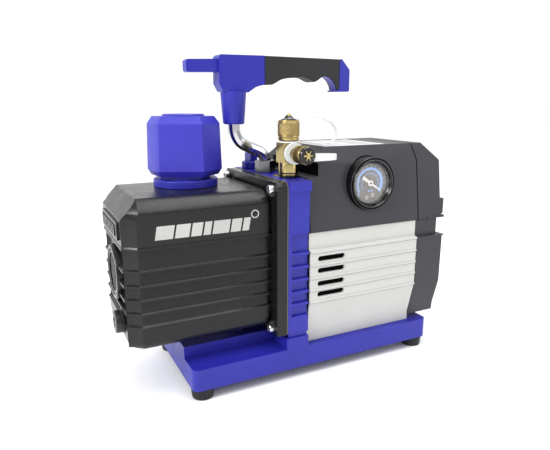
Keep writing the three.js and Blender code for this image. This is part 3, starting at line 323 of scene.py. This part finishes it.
AXES = {
    "x": (Vector((0, 1, 0)), Vector((0, 0, 1)), Vector((1, 0, 0))),
    "y": (Vector((1, 0, 0)), Vector((0, 0, 1)), Vector((0, 1, 0))),
    "z": (Vector((1, 0, 0)), Vector((0, 1, 0)), Vector((0, 0, 1))),
}


def outward(bm):
    """Turns every face of a closed skin outwards."""
    bmesh.ops.recalc_face_normals(bm, faces=bm.faces)
    if bm.calc_volume(signed=True) < 0:
        bmesh.ops.reverse_faces(bm, faces=bm.faces)
    return bm


def loft(loops):
    """A closed skin through loops of the same number of points, each closed on itself."""
    bm = bmesh.new()
    rows = [[bm.verts.new(P(*point)) for point in loop] for loop in loops]
    count = len(rows[0])
    for low, high in zip(rows, rows[1:]):
        for i in range(count):
            j = (i + 1) % count
            bm.faces.new((low[i], low[j], high[j], high[i]))
    bm.faces.new(rows[0][::-1])
    bm.faces.new(rows[-1])
    bmesh.ops.remove_doubles(bm, verts=bm.verts, dist=1e-6)
    return outward(bm)


def lathe(profile, axis, at, segments=64):
    """A turned solid. The profile is (radius, place along the axis) from the axis back to it, or a ring."""
    first, second, along = AXES[axis]
    bm = bmesh.new()
    centre = Vector(at)
    rows = []
    for radius, distance in profile:
        if radius < 1e-6:
            rows.append([bm.verts.new(P(*(centre + along * distance)))])
            continue
        row = []
        for k in range(segments):
            angle = 2 * math.pi * k / segments
            spoke = first * math.cos(angle) + second * math.sin(angle)
            row.append(bm.verts.new(P(*(centre + spoke * radius + along * distance))))
        rows.append(row)
    ring = profile[0][0] > 1e-6
    pairs = list(zip(rows, rows[1:])) + ([(rows[-1], rows[0])] if ring else [])
    for low, high in pairs:
        for k in range(segments):
            n = (k + 1) % segments
            corners = [low[k % len(low)], low[n % len(low)], high[n % len(high)], high[k % len(high)]]
            corners = [v for i, v in enumerate(corners) if v not in corners[:i]]
            if len(corners) > 2:
                bm.faces.new(corners)
    return outward(bm)


def prism(outline, axis, span, width=0.0, segments=2):
    """A bar along an axis with rounded edges; the outline is in the two other axes, in order."""
    first, second, along = AXES[axis]
    loops = [[tuple(first * a + second * b + along * d) for a, b in outline] for d in span]
    bm = loft(loops)
    if width:
        bevel_edges(bm, width, segments)
    return bm


def box(x, y, z, width=0.0):
    return prism([(x[0], y[0]), (x[1], y[0]), (x[1], y[1]), (x[0], y[1])], "z", z, width)


def together(*parts):
    """Several closed skins as one mesh."""
    whole = bmesh.new()
    for part in parts:
        mesh = bpy.data.meshes.new("part")
        part.to_mesh(mesh)
        part.free()
        whole.from_mesh(mesh)
        bpy.data.meshes.remove(mesh)
    return whole


def boolean(obj, operation, *tools):
    """Joins tools to a piece or cuts them from it, and keeps only the result."""
    for bm in tools:
        mesh = bpy.data.meshes.new("tool")
        bm.to_mesh(mesh)
        bm.free()
        tool = bpy.data.objects.new("tool", mesh)
        bpy.context.collection.objects.link(tool)
        modifier = obj.modifiers.new("shape", "BOOLEAN")
        modifier.operation = operation
        modifier.object = tool
        for modifier.solver in ("MANIFOLD", "EXACT"):
            bpy.context.view_layer.update()
            result = bpy.data.meshes.new_from_object(obj.evaluated_get(bpy.context.evaluated_depsgraph_get()))
            if result.polygons:
                break
            modifier.use_self = True
        obj.modifiers.clear()
        old = obj.data
        obj.data = result
        bpy.data.meshes.remove(old)
        bpy.data.objects.remove(tool)
    return obj


def rounded_outline(a, b, radius, steps=5):
    """A rectangle from a[0] to a[1] by b[0] to b[1] with round corners."""
    points = []
    for ca, cb, start in (
        (a[1] - radius, b[0] + radius, -90), (a[1] - radius, b[1] - radius, 0),
        (a[0] + radius, b[1] - radius, 90), (a[0] + radius, b[0] + radius, 180),
    ):
        for k in range(steps + 1):
            angle = math.radians(start + 90 * k / steps)
            points.append((ca + radius * math.cos(angle), cb + radius * math.sin(angle)))
    return points


def piece(name, bm, material, node, replace=True, sharp=32):
    return place(new_object(name, bm, M[material], sharp), node, replace=replace)


# Oil casing ----------------------------------------------------------------------------------

RIBS = (147, 127.3, 114, 101.3, 89, 76.8)
CASING_END = -36.5
FLANGE_HALF = 64
SCREW_Y = 55
SCREW_ZS = (54, 189.4)
SIGHT = (0, 0, 115)
DRAIN = (0, -25, 76)


def casing_loop(z, front, left, top=0.0, end=CASING_END):
    """The casing's outline at a height: insets of the long sides, of the end face and of the top's round edge."""
    shrink = 1 - 0.97 * min(1.0, max(0.0, (z - 174) / 14.2))
    x = -169.3 + 14.9 * max(0.0, z - 172) / 16.2
    y1 = -53.5 + front + top
    y2 = 53.5 - front - 0.5 * top
    drawn = x + 0.37 * front
    valley = 2 < left < 5
    corner = [
        (drawn + 12 * shrink, 0.0), (drawn + 5.7 * shrink, 5.3 * shrink),
        (x + (1.5 if valley else left), 8.2 * shrink), (x + left, 11.6 * shrink),
    ]
    loop = [(end, y1)] + [(cx, y1 + cy) for cx, cy in corner]
    return [(px, py, z) for px, py in loop + [(cx, y2 - cy) for cx, cy in corner[::-1]] + [(end, y2)]]


def casing_levels():
    """The casing's outlines from its underside up: each rib overhangs the wall that slopes up to it."""
    levels = [
        (54.6, 8.0, 8.0), (55.2, 6.0, 6.0), (57, 3.8, 3.8), (60.4, 1.8, 1.8), (65, 1.0, 1.0),
        (75.6, 0.9, 0.9), (75.9, 0.0, 0.0), (77.2, 0.0, 0.0),
    ]
    for k in range(5, 0, -1):
        low, high = RIBS[k], RIBS[k - 1]
        levels += [(low + 2.0, 2.0, 4.2), (high - 1.35, 3.0, 4.8), (high - 1.0, 0.0, 0.0), (high + 0.5, 0.0, 0.0)]
    levels += [(149.0, 0.7, 0.7), (172, 0.7, 0.7), (176.6, 0.7, 0.8), (177.4, 0.0, 0.6)]
    levels += [(179.4, 0.0, 0.6, 1.2), (182.2, 0.0, 0.6, 3.7), (185.0, 0.0, 0.6, 7.2)]
    levels += [(187.2, 0.0, 0.4, 11), (188.2, 0.0, 0.0, 14)]
    return levels


def casing_skin():
    skin = loft([casing_loop(*level) for level in casing_levels()])
    bevel_edges(skin, 0.5, 2, angle=22)
    levels = ((57, 11), (66, 5), (174, 5), (183.6, 10))
    inner = loft([casing_loop(z, front, 11 if z < 60 else 5, end=-30) for z, front in levels])
    w = FLANGE_HALF
    flange = prism([
        (-w, 47.2), (w, 47.2), (w, 192.4), (w - 4, 196.4), (4 - w, 196.4), (-w, 192.4),
    ], "x", (-32.6, -22.6), 0.9, 3)
    parts = [inner, flange]
    for level in RIBS:
        for side in (-1, 1):
            y = sorted((side * 53.5, side * 47))
            parts.append(box((-38, -32), y, (level - 0.95, level + 0.75), 0.35))
    for side in (-1, 1):
        for boss_z in (SCREW_ZS[1] - 3, SCREW_ZS[0] + 3.6):
            boss = [(0, -37.2), (3.2, -37.2), (4.4, -35.6), (4.8, -32), (0, -32)]
            parts.append(lathe(boss, "x", (0, side * SCREW_Y, boss_z), 24))
    rim = lathe([
        (21.3, -166), (21.3, -170.2), (22.2, -170.9), (24.6, -170.9),
        (25.7, -169.9), (26.4, -164), (26.4, -160), (21.3, -160),
    ], "x", SIGHT, 72)
    drain = lathe([(0, -160), (11, -160), (11, -169.4), (10.3, -170.1), (0, -170.1)], "x", DRAIN, 48)
    casing = new_object("oil_casing_skin", skin, M["casting"])
    boolean(casing, "UNION", *parts)
    boolean(casing, "DIFFERENCE", lathe([(0, -180), (21.2, -180), (21.2, -150), (0, -150)], "x", SIGHT, 72))
    boolean(casing, "UNION", rim, drain)
    cavity = loft([
        [(x1, y, z) for x1, y in ((-10, -w1), (w2, -w1), (w3, -w4), (w3, w4), (w2, w1), (-10, w1))]
        for z, w1, w2, w3, w4 in (
            (65, 46.4, -150, -161.5, -36), (172, 46.4, -150, -161.5, -36), (181, 36, -140, -148, -28),
        )
    ])
    bores = [
        lathe([(0, 170), (24.6, 170), (24.6, 200), (0, 200)], "z", (-93, 16, 0), 64),
        lathe([(0, -180), (5.3, -180), (5.3, -150), (0, -150)], "x", DRAIN, 24),
    ]
    for y in (-SCREW_Y, SCREW_Y):
        for z in SCREW_ZS:
            bores.append(lathe([(0, -50), (2.9, -50), (2.9, -10), (0, -10)], "x", (0, y, z), 20))
    boolean(casing, "DIFFERENCE", cavity, *bores)
    finish_mesh(casing, M["casting"], 42)
    place(casing, "oil_casing")
    panel = together(
        prism(rounded_outline((-37, 37), (152.5, 168.5), 3), "x", (-170.6, -168), 0.5),
        *[
            prism([
                (y - 2.2, 155.5), (y + 2.2, 155.5), (y + 4.0, 165.5), (y - 0.4, 165.5),
            ], "x", (-171.4, -170), 0.3)
            for y in range(-28, 30, 8)
        ],
    )
    piece("end_panel", panel, "casting", "oil_casing", replace=False)
    bars = []
    left = -142.3
    for length in (15.5, 12.5, 9.5, 6.5, 15.5, 9.5, 6.5):
        bars.append(prism([
            (left, 153.6), (left + length, 153.6), (left + length + 2.2, 165.4), (left + 2.2, 165.4),
        ], "y", (-53.15, -52.4), 0.12, 1))
        left += length + 1.75
    bars.append(lathe([(2.9, -53.15), (3.9, -53.15), (3.9, -52.4), (2.9, -52.4)], "y", (-50, 0, 168), 40))
    piece("front_bars", together(*bars), "pale_print", "oil_casing", replace=False)


casing_skin()
# A near-black disc behind the sight glass: painted shade for the casing's shaded inside.
sight_shade_disc = lathe([(0, -165.4), (17.6, -165.4), (17.6, -164.6), (0, -164.6)], "x", SIGHT, 48)
piece("sight_painted_shade", sight_shade_disc, "painted_shade", "oil_casing", replace=False)
magnet = lathe([(0, -175.1), (2.6, -175.1), (3.3, -174.9), (3.4, -174.4), (0, -174.4)], "x", DRAIN, 32)
piece("drain_plug_centre", magnet, "copper", "drain_plug", replace=False)

# Caps, fitting and straps --------------------------------------------------------------------


def knurled(before, after, knurl, axis, at, count, pitch, depth):
    """A turned solid whose outside carries a diamond knurl between two places along its axis."""
    first, second, along = AXES[axis]
    segments = 4 * count
    start, end, radius = knurl
    steps = max(4, round(abs(end - start) / (pitch / 4)))
    rows = []
    for r, d in before:
        rows.append([(r, d)] * segments)
    for k in range(steps + 1):
        t = k / steps
        fade = min(1.0, 6 * t, 6 * (1 - t))
        row = []
        for i in range(segments):
            u, v = i / 4, t * steps / 4
            ridge = min(abs(((u + v) % 1) * 2 - 1), abs(((u - v) % 1) * 2 - 1))
            row.append((radius - depth * (1 - fade) * 0.4 - depth * fade * (1 - ridge), start + (end - start) * t))
        rows.append(row)
    for r, d in after:
        rows.append([(r, d)] * segments)
    loops = []
    for row in rows:
        loop = []
        for i, (r, d) in enumerate(row):
            angle = 2 * math.pi * i / segments
            loop.append(tuple(Vector(at) + (first * math.cos(angle) + second * math.sin(angle)) * r + along * d))
        loops.append(loop)
    bm = bmesh.new()
    grid = [[bm.verts.new(P(*q)) for q in loop] for loop in loops]
    for low, high in zip(grid, grid[1:] + grid[:1]):
        for i in range(segments):
            j = (i + 1) % segments
            bm.faces.new((low[i], low[j], high[j], high[i]))
    return outward(bm)


def grooved(obj, axis, at, knurl, depth):
    """Gives the parts of a knurl below a depth a darker brass: painted shade in the knurl's grooves."""
    along = AXES[axis][2]
    start, end, radius = knurl
    obj.data.materials.append(M["brass_groove_shade"])
    for polygon in obj.data.polygons:
        spot = polygon.center * 1000 - SHIFT - Vector(at)
        distance = spot.dot(along)
        from_axis = (spot - along * distance).length
        if min(start, end) < distance < max(start, end) and from_axis < radius - depth:
            polygon.material_index = 1
    return obj


INTAKE = (-6, -34, 0)
BRANCH = (-6, 0, 220)
TOP_KNURL = (235.4, 248.8, 10.6)
FRONT_KNURL = (-57.2, -66.8, 8.6)
top = knurled(
    [(6.7, 231.6), (9.3, 231.6), (10.0, 232.2), (10.2, 233.0), (10.2, 234.2), (9.6, 234.6), (9.6, 235.2)],
    [(9.7, 249.2), (10.0, 249.5), (9.6, 250.4), (2.4, 250.4), (2.4, 247.4), (6.7, 247.4)],
    TOP_KNURL, "z", INTAKE, count=26, pitch=2.5, depth=0.95,
)
grooved(piece("top_cap_skin", top, "brass", "top_cap", sharp=50), "z", INTAKE, TOP_KNURL, 0.5)
front = knurled(
    [(6.7, -54), (7.4, -54), (8.2, -54.6), (8.2, -56.2), (7.7, -56.6)],
    [
        (8.0, -67.2), (8.3, -67.6), (8.3, -68.2), (8.0, -68.5), (8.3, -68.8), (8.2, -69.3),
        (2.4, -69.4), (2.4, -66.4), (6.7, -66.4),
    ],
    FRONT_KNURL, "y", BRANCH, count=24, pitch=2.2, depth=0.8,
)
grooved(piece("front_cap_skin", front, "brass", "front_cap", sharp=50), "y", BRANCH, FRONT_KNURL, 0.4)

stem = lathe([
    (0, 188), (6, 188), (6, 198.3), (8.9, 198.3), (8.9, 199.0), (9.5, 199.3), (9.5, 200.4), (9.0, 200.7),
    (9.0, 201.4), (9.7, 201.8), (9.7, 209.4), (9.2, 210.2), (9.2, 212), (0, 212),
], "z", INTAKE, 72)
square = prism(rounded_outline((-15, 3), (-43, -25), 0.9, 3), "z", (210.5, 229.5), 0.7, 2)
port = lathe([
    (0, 228), (7.8, 228), (7.8, 229.9), (7.2, 230.4), (5, 230.4),
    (5, 234.4), (6.2, 234.8), (6.2, 244), (4, 246.2), (0, 246.2),
], "z", INTAKE, 48)
branch = lathe([
    (0, -42), (7.6, -42), (7.6, -43.6), (7.0, -44.3), (5, -44.3),
    (5, -57), (6.2, -57.4), (6.2, -64.4), (4, -65.9), (0, -65.9),
], "y", BRANCH, 48)
fitting = new_object("intake_fitting_skin", square, M["brass"])
boolean(fitting, "UNION", stem, port, branch)
boolean(
    fitting, "DIFFERENCE",
    lathe([(0, 185), (2.6, 185), (2.6, 250), (0, 250)], "z", INTAKE, 24),
    lathe([(0, -70), (2.6, -70), (2.6, -34), (0, -34)], "y", BRANCH, 24),
)
finish_mesh(fitting, M["brass_bright"], 32)
place(fitting, "intake_fitting")

button = lathe([
    (0, 250.2), (6.9, 250.2), (7.3, 250.6), (7.2, 251.1), (5.4, 251.9), (3.6, 253.2), (2.9, 254.4), (0, 254.4),
], "z", INTAKE, 48)
piece("top_button_skin", button, "bezel", "top_cap_button")
tip = lathe([
    (0, 254.2), (2.4, 254.2), (2.6, 254.8), (2.2, 255.4), (1.2, 255.8), (1.1, 256.4), (0.7, 256.6), (0, 256.6),
], "z", INTAKE, 32)
piece("top_button_tip", tip, "brass_bright", "top_cap_button", replace=False)


def star(radius, notch, count):
    """An outline of blunt teeth round a circle."""
    points = []
    for k in range(count):
        for offset, r in ((-0.3, notch), (-0.08, radius), (0.08, radius), (0.3, notch)):
            angle = 2 * math.pi * (k + offset) / count
            points.append((r * math.cos(angle), r * math.sin(angle)))
    return points


button = lathe([
    (0, -69.2), (7.8, -69.2), (8.0, -69.8), (7.9, -71.3), (7.3, -72.0), (6.6, -72.0), (6.2, -71.5), (0, -71.5),
], "y", BRANCH, 64)
piece("front_button_skin", button, "bezel", "front_cap_button")
star_points = [(-6 + a, 220 + b) for a, b in star(4.9, 2.1, 6)]
star_bm = together(
    prism(star_points, "y", (-72.6, -71.3), 0.2, 1),
    lathe([(0, -73.2), (1.7, -73.2), (2.2, -72.8), (2.3, -72.4), (0, -72.4)], "y", BRANCH, 24),
)
piece("front_button_star", star_bm, "brass_bright", "front_cap_button", replace=False)
rings = [
    lathe([(8.4, z), (9.25, z), (9.25, z + 0.9), (8.4, z + 0.9)], "z", INTAKE, 64) for z in (197.9, 200.5)
]
piece("fitting_rings", together(*rings), "bezel", "intake_fitting", replace=False)

def hexagon(a, b, radius, turn):
    """A hexagon round a point, turned by an angle in degrees."""
    angles = [math.radians(60 * k + turn) for k in range(6)]
    return [(a + radius * math.cos(t), b + radius * math.sin(t)) for t in angles]


OIL_PLUG = (-9.5, -18, 0)
plug = new_object("oil_plug_skin", lathe([
    (0, 190.2), (4, 190.2), (4, 196.4), (4.7, 196.4), (4.8, 196.9), (4.4, 197.5), (0, 197.5),
], "z", OIL_PLUG, 40), M["brass_bright"])
boolean(plug, "DIFFERENCE", prism(hexagon(OIL_PLUG[0], OIL_PLUG[1], 2.4, 0), "z", (195, 199)))
finish_mesh(plug, M["brass_bright"], 32)
place(plug, "oil_plug")

# Gauge ---------------------------------------------------------------------------------------

DIAL = (72.6, 0, 188.6)
DIAL_FACE = -58.55
PRINT_FACE = -58.72
NEEDLE_TURN = -33
NEEDLE_SPAN = (-60.1, -59.7)
case = lathe([
    (0, -42), (20, -42), (22, -45), (26.0, -47), (26.0, -61.6), (26.35, -62.2), (26.35, -63.6), (26.0, -64.1),
    (25.5, -64.1), (25.2, -63.6), (25.1, -62.6), (24.7, -62.4), (24.3, -62.9), (24.1, -64.4), (23.7, -64.95),
    (23.1, -65.0), (22.6, -64.6), (22.3, -63.6), (21.2, -61.2), (20.5, -60.8), (20.3, -60.2), (20.3, -56.8),
    (0, -56.8),
], "y", DIAL, 96)
piece("gauge_case_skin", case, "bezel", "gauge_case", sharp=40)


def dial_arc(inner, outer, start, end, steps, taper=1.0):
    """A thin printed arc on the dial, between two angles, anticlockwise from +X as seen from the front."""
    bm = bmesh.new()
    rows = []
    for k in range(steps + 1):
        angle = math.radians(start + (end - start) * k / steps)
        width = (outer - inner) * (1 + (taper - 1) * k / steps)
        ring = []
        low, high = outer - width, outer
        for r, y in ((low, DIAL_FACE), (high, DIAL_FACE), (high, PRINT_FACE), (low, PRINT_FACE)):
            ring.append(bm.verts.new(P(DIAL[0] + r * math.cos(angle), y, DIAL[2] + r * math.sin(angle))))
        rows.append(ring)
    for low, high in zip(rows, rows[1:]):
        for i in range(4):
            bm.faces.new((low[i], low[(i + 1) % 4], high[(i + 1) % 4], high[i]))
    bm.faces.new(rows[0][::-1])
    bm.faces.new(rows[-1])
    return outward(bm)


blue_print = together(
    dial_arc(12.2, 15.8, -38, 216, 60, taper=0.5), dial_arc(9.4, 9.9, -40, 214, 48),
    *[dial_arc(10.2, 12.0, a, a + 2.0, 2) for a in range(-30, 211, 24)],
    *[dial_arc(7.0, 8.8, a, a + 14, 3) for a in (-104, -78)],
    *[dial_arc(15.8, 18.6, a, a + 3, 2) for a in (214, 222)],
)
piece("dial_blue_print", blue_print, "dial_blue", "gauge_dial", replace=False)
small_rings = []
for x, z in ((-3.2, -14.2), (3.4, -12.0)):
    ring = [(1.3, PRINT_FACE), (1.75, PRINT_FACE), (1.75, DIAL_FACE), (1.3, DIAL_FACE)]
    small_rings.append(lathe(ring, "y", (DIAL[0] + x, 0, DIAL[2] + z), 20))
ticks = [dial_arc(16.6, 17.8, a - 0.5, a + 0.5, 1) for a in range(-38, 217, 18)]
piece("dial_ticks", together(*small_rings, *ticks), "white", "gauge_dial", replace=False)


def needle_shape(outline):
    """A thin flat piece in front of the dial, turned about its centre."""
    turn = math.radians(NEEDLE_TURN)
    points = [
        (DIAL[0] + a * math.cos(turn) - b * math.sin(turn), DIAL[2] + a * math.sin(turn) + b * math.cos(turn))
        for a, b in outline
    ]
    return prism(points, "y", NEEDLE_SPAN, 0.06, 1)


needle = together(
    needle_shape([(-11.6, -1.7), (-2.2, -1.3), (-2.2, 1.3), (-11.6, 1.7)]),
    needle_shape([(2.2, -1.0), (13.6, -0.45), (15.4, 0), (13.6, 0.45), (2.2, 1.0)]),
    lathe([(1.2, -60.35), (2.6, -60.35), (2.9, -60.1), (2.9, -59.6), (1.2, -59.6)], "y", DIAL, 32),
)
piece("needle_skin", needle, "needle", "gauge_needle")
pin = lathe([(0, -60.3), (1.1, -60.3), (1.1, -57.2), (0, -57.2)], "y", DIAL, 20)
piece("needle_pin", pin, "plastic", "gauge_needle", replace=False)

# Vents, power socket and grip details --------------------------------------------------------

# Near-black sheets behind the motor cover's slots: painted shade for the shaded inside of the motor.
for side, y in (("front", (-62.4, -60.8)), ("rear", (60.8, 62.4))):
    vent_shade_sheet = prism(rounded_outline((7.5, 44.5), (77, 127), 3), "y", y)
    piece("vent_painted_shade_" + side, vent_shade_sheet, "painted_shade", "motor_cover", replace=False)

for number, (y, z) in enumerate([(y, z) for z in SCREW_ZS for y in (-SCREW_Y, SCREW_Y)], 1):
    head = lathe([
        (0, -37.9), (3.7, -37.9), (4.2, -37.4), (4.25, -33.2), (4.1, -32.95),
        (2.5, -32.9), (2.45, -10.6), (2.1, -10), (0, -10),
    ], "x", (0, y, z), 40)
    screw = new_object("screw_%d" % number, head, M["steel"])
    boolean(screw, "DIFFERENCE", prism(hexagon(y, z, 2.35, 12), "x", (-39, -35.4)))
    finish_mesh(screw, M["steel"], 35)
    place(screw, "casing_screw_%d" % number)

# A plain pale label on top of the motor cover, with grey rules and no lettering.
UPPER_HALF = [(-63, 146), (-54.5, 208.3), (-43.5, 225)]
outline = [(y - 0.12, z + 0.12) for y, z in UPPER_HALF] + [(0.12 - y, z + 0.12) for y, z in UPPER_HALF[::-1]]
inside = [(y * 0.93, z - 4) for y, z in outline]
# A thin near-black band at the seam between the two covers: painted shade in the seam's groove.
seam = new_object("cover_seam", prism(outline, "x", (133.6, 134.5)), M["painted_shade"])
boolean(seam, "DIFFERENCE", prism([(inside[0][0], 100)] + inside[1:-1] + [(inside[-1][0], 100)], "x", (130, 138)))
finish_mesh(seam, M["painted_shade"], 30)
place(seam, "upper_cover", replace=False)
# A near-black sheet in the notch of the cover's end: painted shade over the notch's shaded floor and walls.
notch = prism(rounded_outline((-55.5, 40), (198.8, 210.6), 1), "x", (14.05, 14.5))
piece("notch_painted_shade", notch, "painted_shade", "upper_cover", replace=False)
label = prism(rounded_outline((30, 103), (-41, 32), 2), "z", (224.9, 225.08))
piece("top_label", label, "label", "upper_cover", replace=False)
rules = [box((70, 98), (y, y + 1.6), (225.02, 225.16)) for y in range(-34, 28, 5)]
rules += [box((34, 62), (y, y + 3.2), (225.02, 225.16)) for y in (-30, -18, 10)]
piece("label_rules", together(*rules), "print_grey", "upper_cover", replace=False)

lines = []
for level in RIBS[1:]:
    for y in ((-65.12, -64.8), (64.8, 65.12)):
        lines.append(box((2.7, 131.4), y, (level - 1.75, level - 0.95)))
piece("bead_shadows", together(*lines), "bead_shadow", "motor_cover", replace=False)

GRIP_HOOK = [(71.0, 279.3), (70.2, 282.9), (67.3, 287.8), (62.8, 291.8), (57, 293.35), (52, 291.75)]
hook_low = [(a - 0.1, b - 0.35) for a, b in GRIP_HOOK]
hook = prism([(a, b) for a, b in GRIP_HOOK] + hook_low[::-1], "y", (11 - 5.4, 11 + 5.4))
piece("hook_lining", hook, "blue", "handle_core", replace=False)

PINS = ((7, (181.2, 186.2)), (17, (181.2, 186.2)), (12, (186.6, 191.4)))
pins = [box((154.5, 165), (y - 1.1, y + 1.1), z, 0.35) for y, z in PINS]
piece("inlet_pins", together(*pins), "steel", "power_inlet", replace=False)

# Pieces that keep their CAD shape, with rounded edges ------------------------------------------

FINISH = {
    "base_tray": ("blue", 1.6, 3), "exhaust_neck": ("blue", 0.4, 2),
    "centre_housing": ("blue_housing", 0.35, 2), "gas_ballast_knob": ("blue", 0.5, 2), "handle_core": ("blue", 1.0, 2),
    "foot_front_left": ("rubber", 0.5, 2), "foot_front_right": ("rubber", 0.5, 2),
    "foot_rear_left": ("rubber", 0.5, 2), "foot_rear_right": ("rubber", 0.5, 2),
    "casing_gasket": ("gasket", 0, 0), "sight_glass_bezel": ("casting", 0.3, 2),
    "sight_glass": ("sight", 0, 0), "drain_plug": ("plastic", 0.3, 2), "exhaust_filter": ("felt", 0.6, 2),
    "intake_seal": ("rubber", 0.2, 2),
    "top_tether": ("milky", 0.2, 1), "front_tether": ("milky", 0.2, 1),
    "handle_nut": ("nut_steel", 0.35, 2), "handle_tube": ("chrome", 0, 0), "handle_grip": ("grip", 0.8, 3),
    "motor_cover": ("silver", 0.3, 2), "upper_cover": ("cover", 0.7, 2), "upper_end_cover": ("cover", 0.7, 2),
    "fan_cover": ("cover", 0.7, 2), "power_inlet": ("plastic", 0.5, 2), "switch_rocker": ("plastic", 0.4, 2),
    "gauge_dial": ("dial", 0, 0),
    "gauge_glass": ("glass", 0, 0), "gauge_tube": ("copper", 0, 0), "pump_cylinder": ("iron", 0.4, 2),
    "pump_end_plate": ("iron", 0.4, 2), "pump_rotor": ("steel", 0, 0), "vane_1": ("plastic", 0.2, 1),
    "vane_2": ("plastic", 0.2, 1), "vane_spring": ("steel", 0, 0), "exhaust_valve": ("steel", 0, 0),
    "shaft_seal": ("rubber", 0.3, 1), "front_shield": ("silver", 0.5, 2), "rear_shield": ("silver", 0.5, 2),
    "front_bearing": ("steel", 0.3, 1), "rear_bearing": ("steel", 0.3, 1), "motor_stator": ("copper", 0.4, 1),
    "motor_rotor": ("steel", 0.3, 1), "motor_shaft": ("steel", 0.3, 1), "cooling_fan": ("plastic", 0.3, 1),
    "run_capacitor": ("plastic", 0.8, 2),
}
for node_name, (finish, width, rounding) in FINISH.items():
    soften(node_name, M[finish], width, rounding)
soften("exhaust_cap", M["cap_blue"], 0.7, 2, angle=10, sharp=40)

# Stage, lights and camera --------------------------------------------------------------------

bm = bmesh.new()
bmesh.ops.create_grid(bm, x_segments=1, y_segments=1, size=40.0)
paper = moulded("floor_paper", (0.93, 0.93, 0.94), 0.6, grain=3, depth=0.01, vary=0.004, specular=0.2)
floor = new_object("floor", bm, paper)

world = bpy.data.worlds.new("studio")
bpy.context.scene.world = world
world.use_nodes = True
world.node_tree.nodes["Background"].inputs[0].default_value = (1.0, 1.0, 1.0, 1)


def studio_dimming(tree):
    """White all round and above, but dimmer low down on the side that faces the front of the pump."""
    coords = tree.nodes.new("ShaderNodeTexCoord")
    split = tree.nodes.new("ShaderNodeSeparateXYZ")
    tree.links.new(coords.outputs["Generated"], split.inputs[0])
    ranges = []
    for socket, low, high in (("Y", 0.15, -0.75), ("Z", 0.75, 0.15)):
        step = tree.nodes.new("ShaderNodeMapRange")
        step.interpolation_type = "SMOOTHSTEP"
        step.inputs["From Min"].default_value = low
        step.inputs["From Max"].default_value = high
        tree.links.new(split.outputs[socket], step.inputs["Value"])
        ranges.append(step.outputs[0])
    both = tree.nodes.new("ShaderNodeMath")
    both.operation = "MULTIPLY"
    tree.links.new(ranges[0], both.inputs[0])
    tree.links.new(ranges[1], both.inputs[1])
    strength = tree.nodes.new("ShaderNodeMapRange")
    strength.inputs["To Min"].default_value = 1.12
    strength.inputs["To Max"].default_value = 0.55
    tree.links.new(both.outputs[0], strength.inputs["Value"])
    tree.links.new(strength.outputs[0], tree.nodes["Background"].inputs["Strength"])


studio_dimming(world.node_tree)
bpy.context.scene.view_settings.view_transform = "Standard"


def area_light(name, at, target, size, power):
    light = bpy.data.lights.new(name, "AREA")
    light.shape = "RECTANGLE"
    light.size, light.size_y = size
    light.energy = power
    obj = bpy.data.objects.new(name, light)
    bpy.context.collection.objects.link(obj)
    obj.location = at
    obj.rotation_euler = (Vector(target) - Vector(at)).to_track_quat("-Z", "Y").to_euler()


area_light("key", (-1.35, -0.35, 0.95), (0, 0, 0.14), (0.6, 0.6), 19)
area_light("top", (0.25, -0.15, 1.45), (0, 0, 0.15), (1.3, 0.8), 12)
area_light("side", (1.1, -1.2, 0.6), (0, 0, 0.15), (0.5, 1.0), 3)

camera_data = bpy.data.cameras.new("camera")
camera_data.sensor_width = 36
camera_data.lens = 34.04
camera_data.clip_start = 0.01
camera = bpy.data.objects.new("camera", camera_data)
bpy.context.collection.objects.link(camera)
camera.location = P(-239.4, -475.2, 266.9)
camera.rotation_euler = (math.radians(90 - 13.3), 0, math.radians(-26.4))
bpy.context.scene.camera = camera
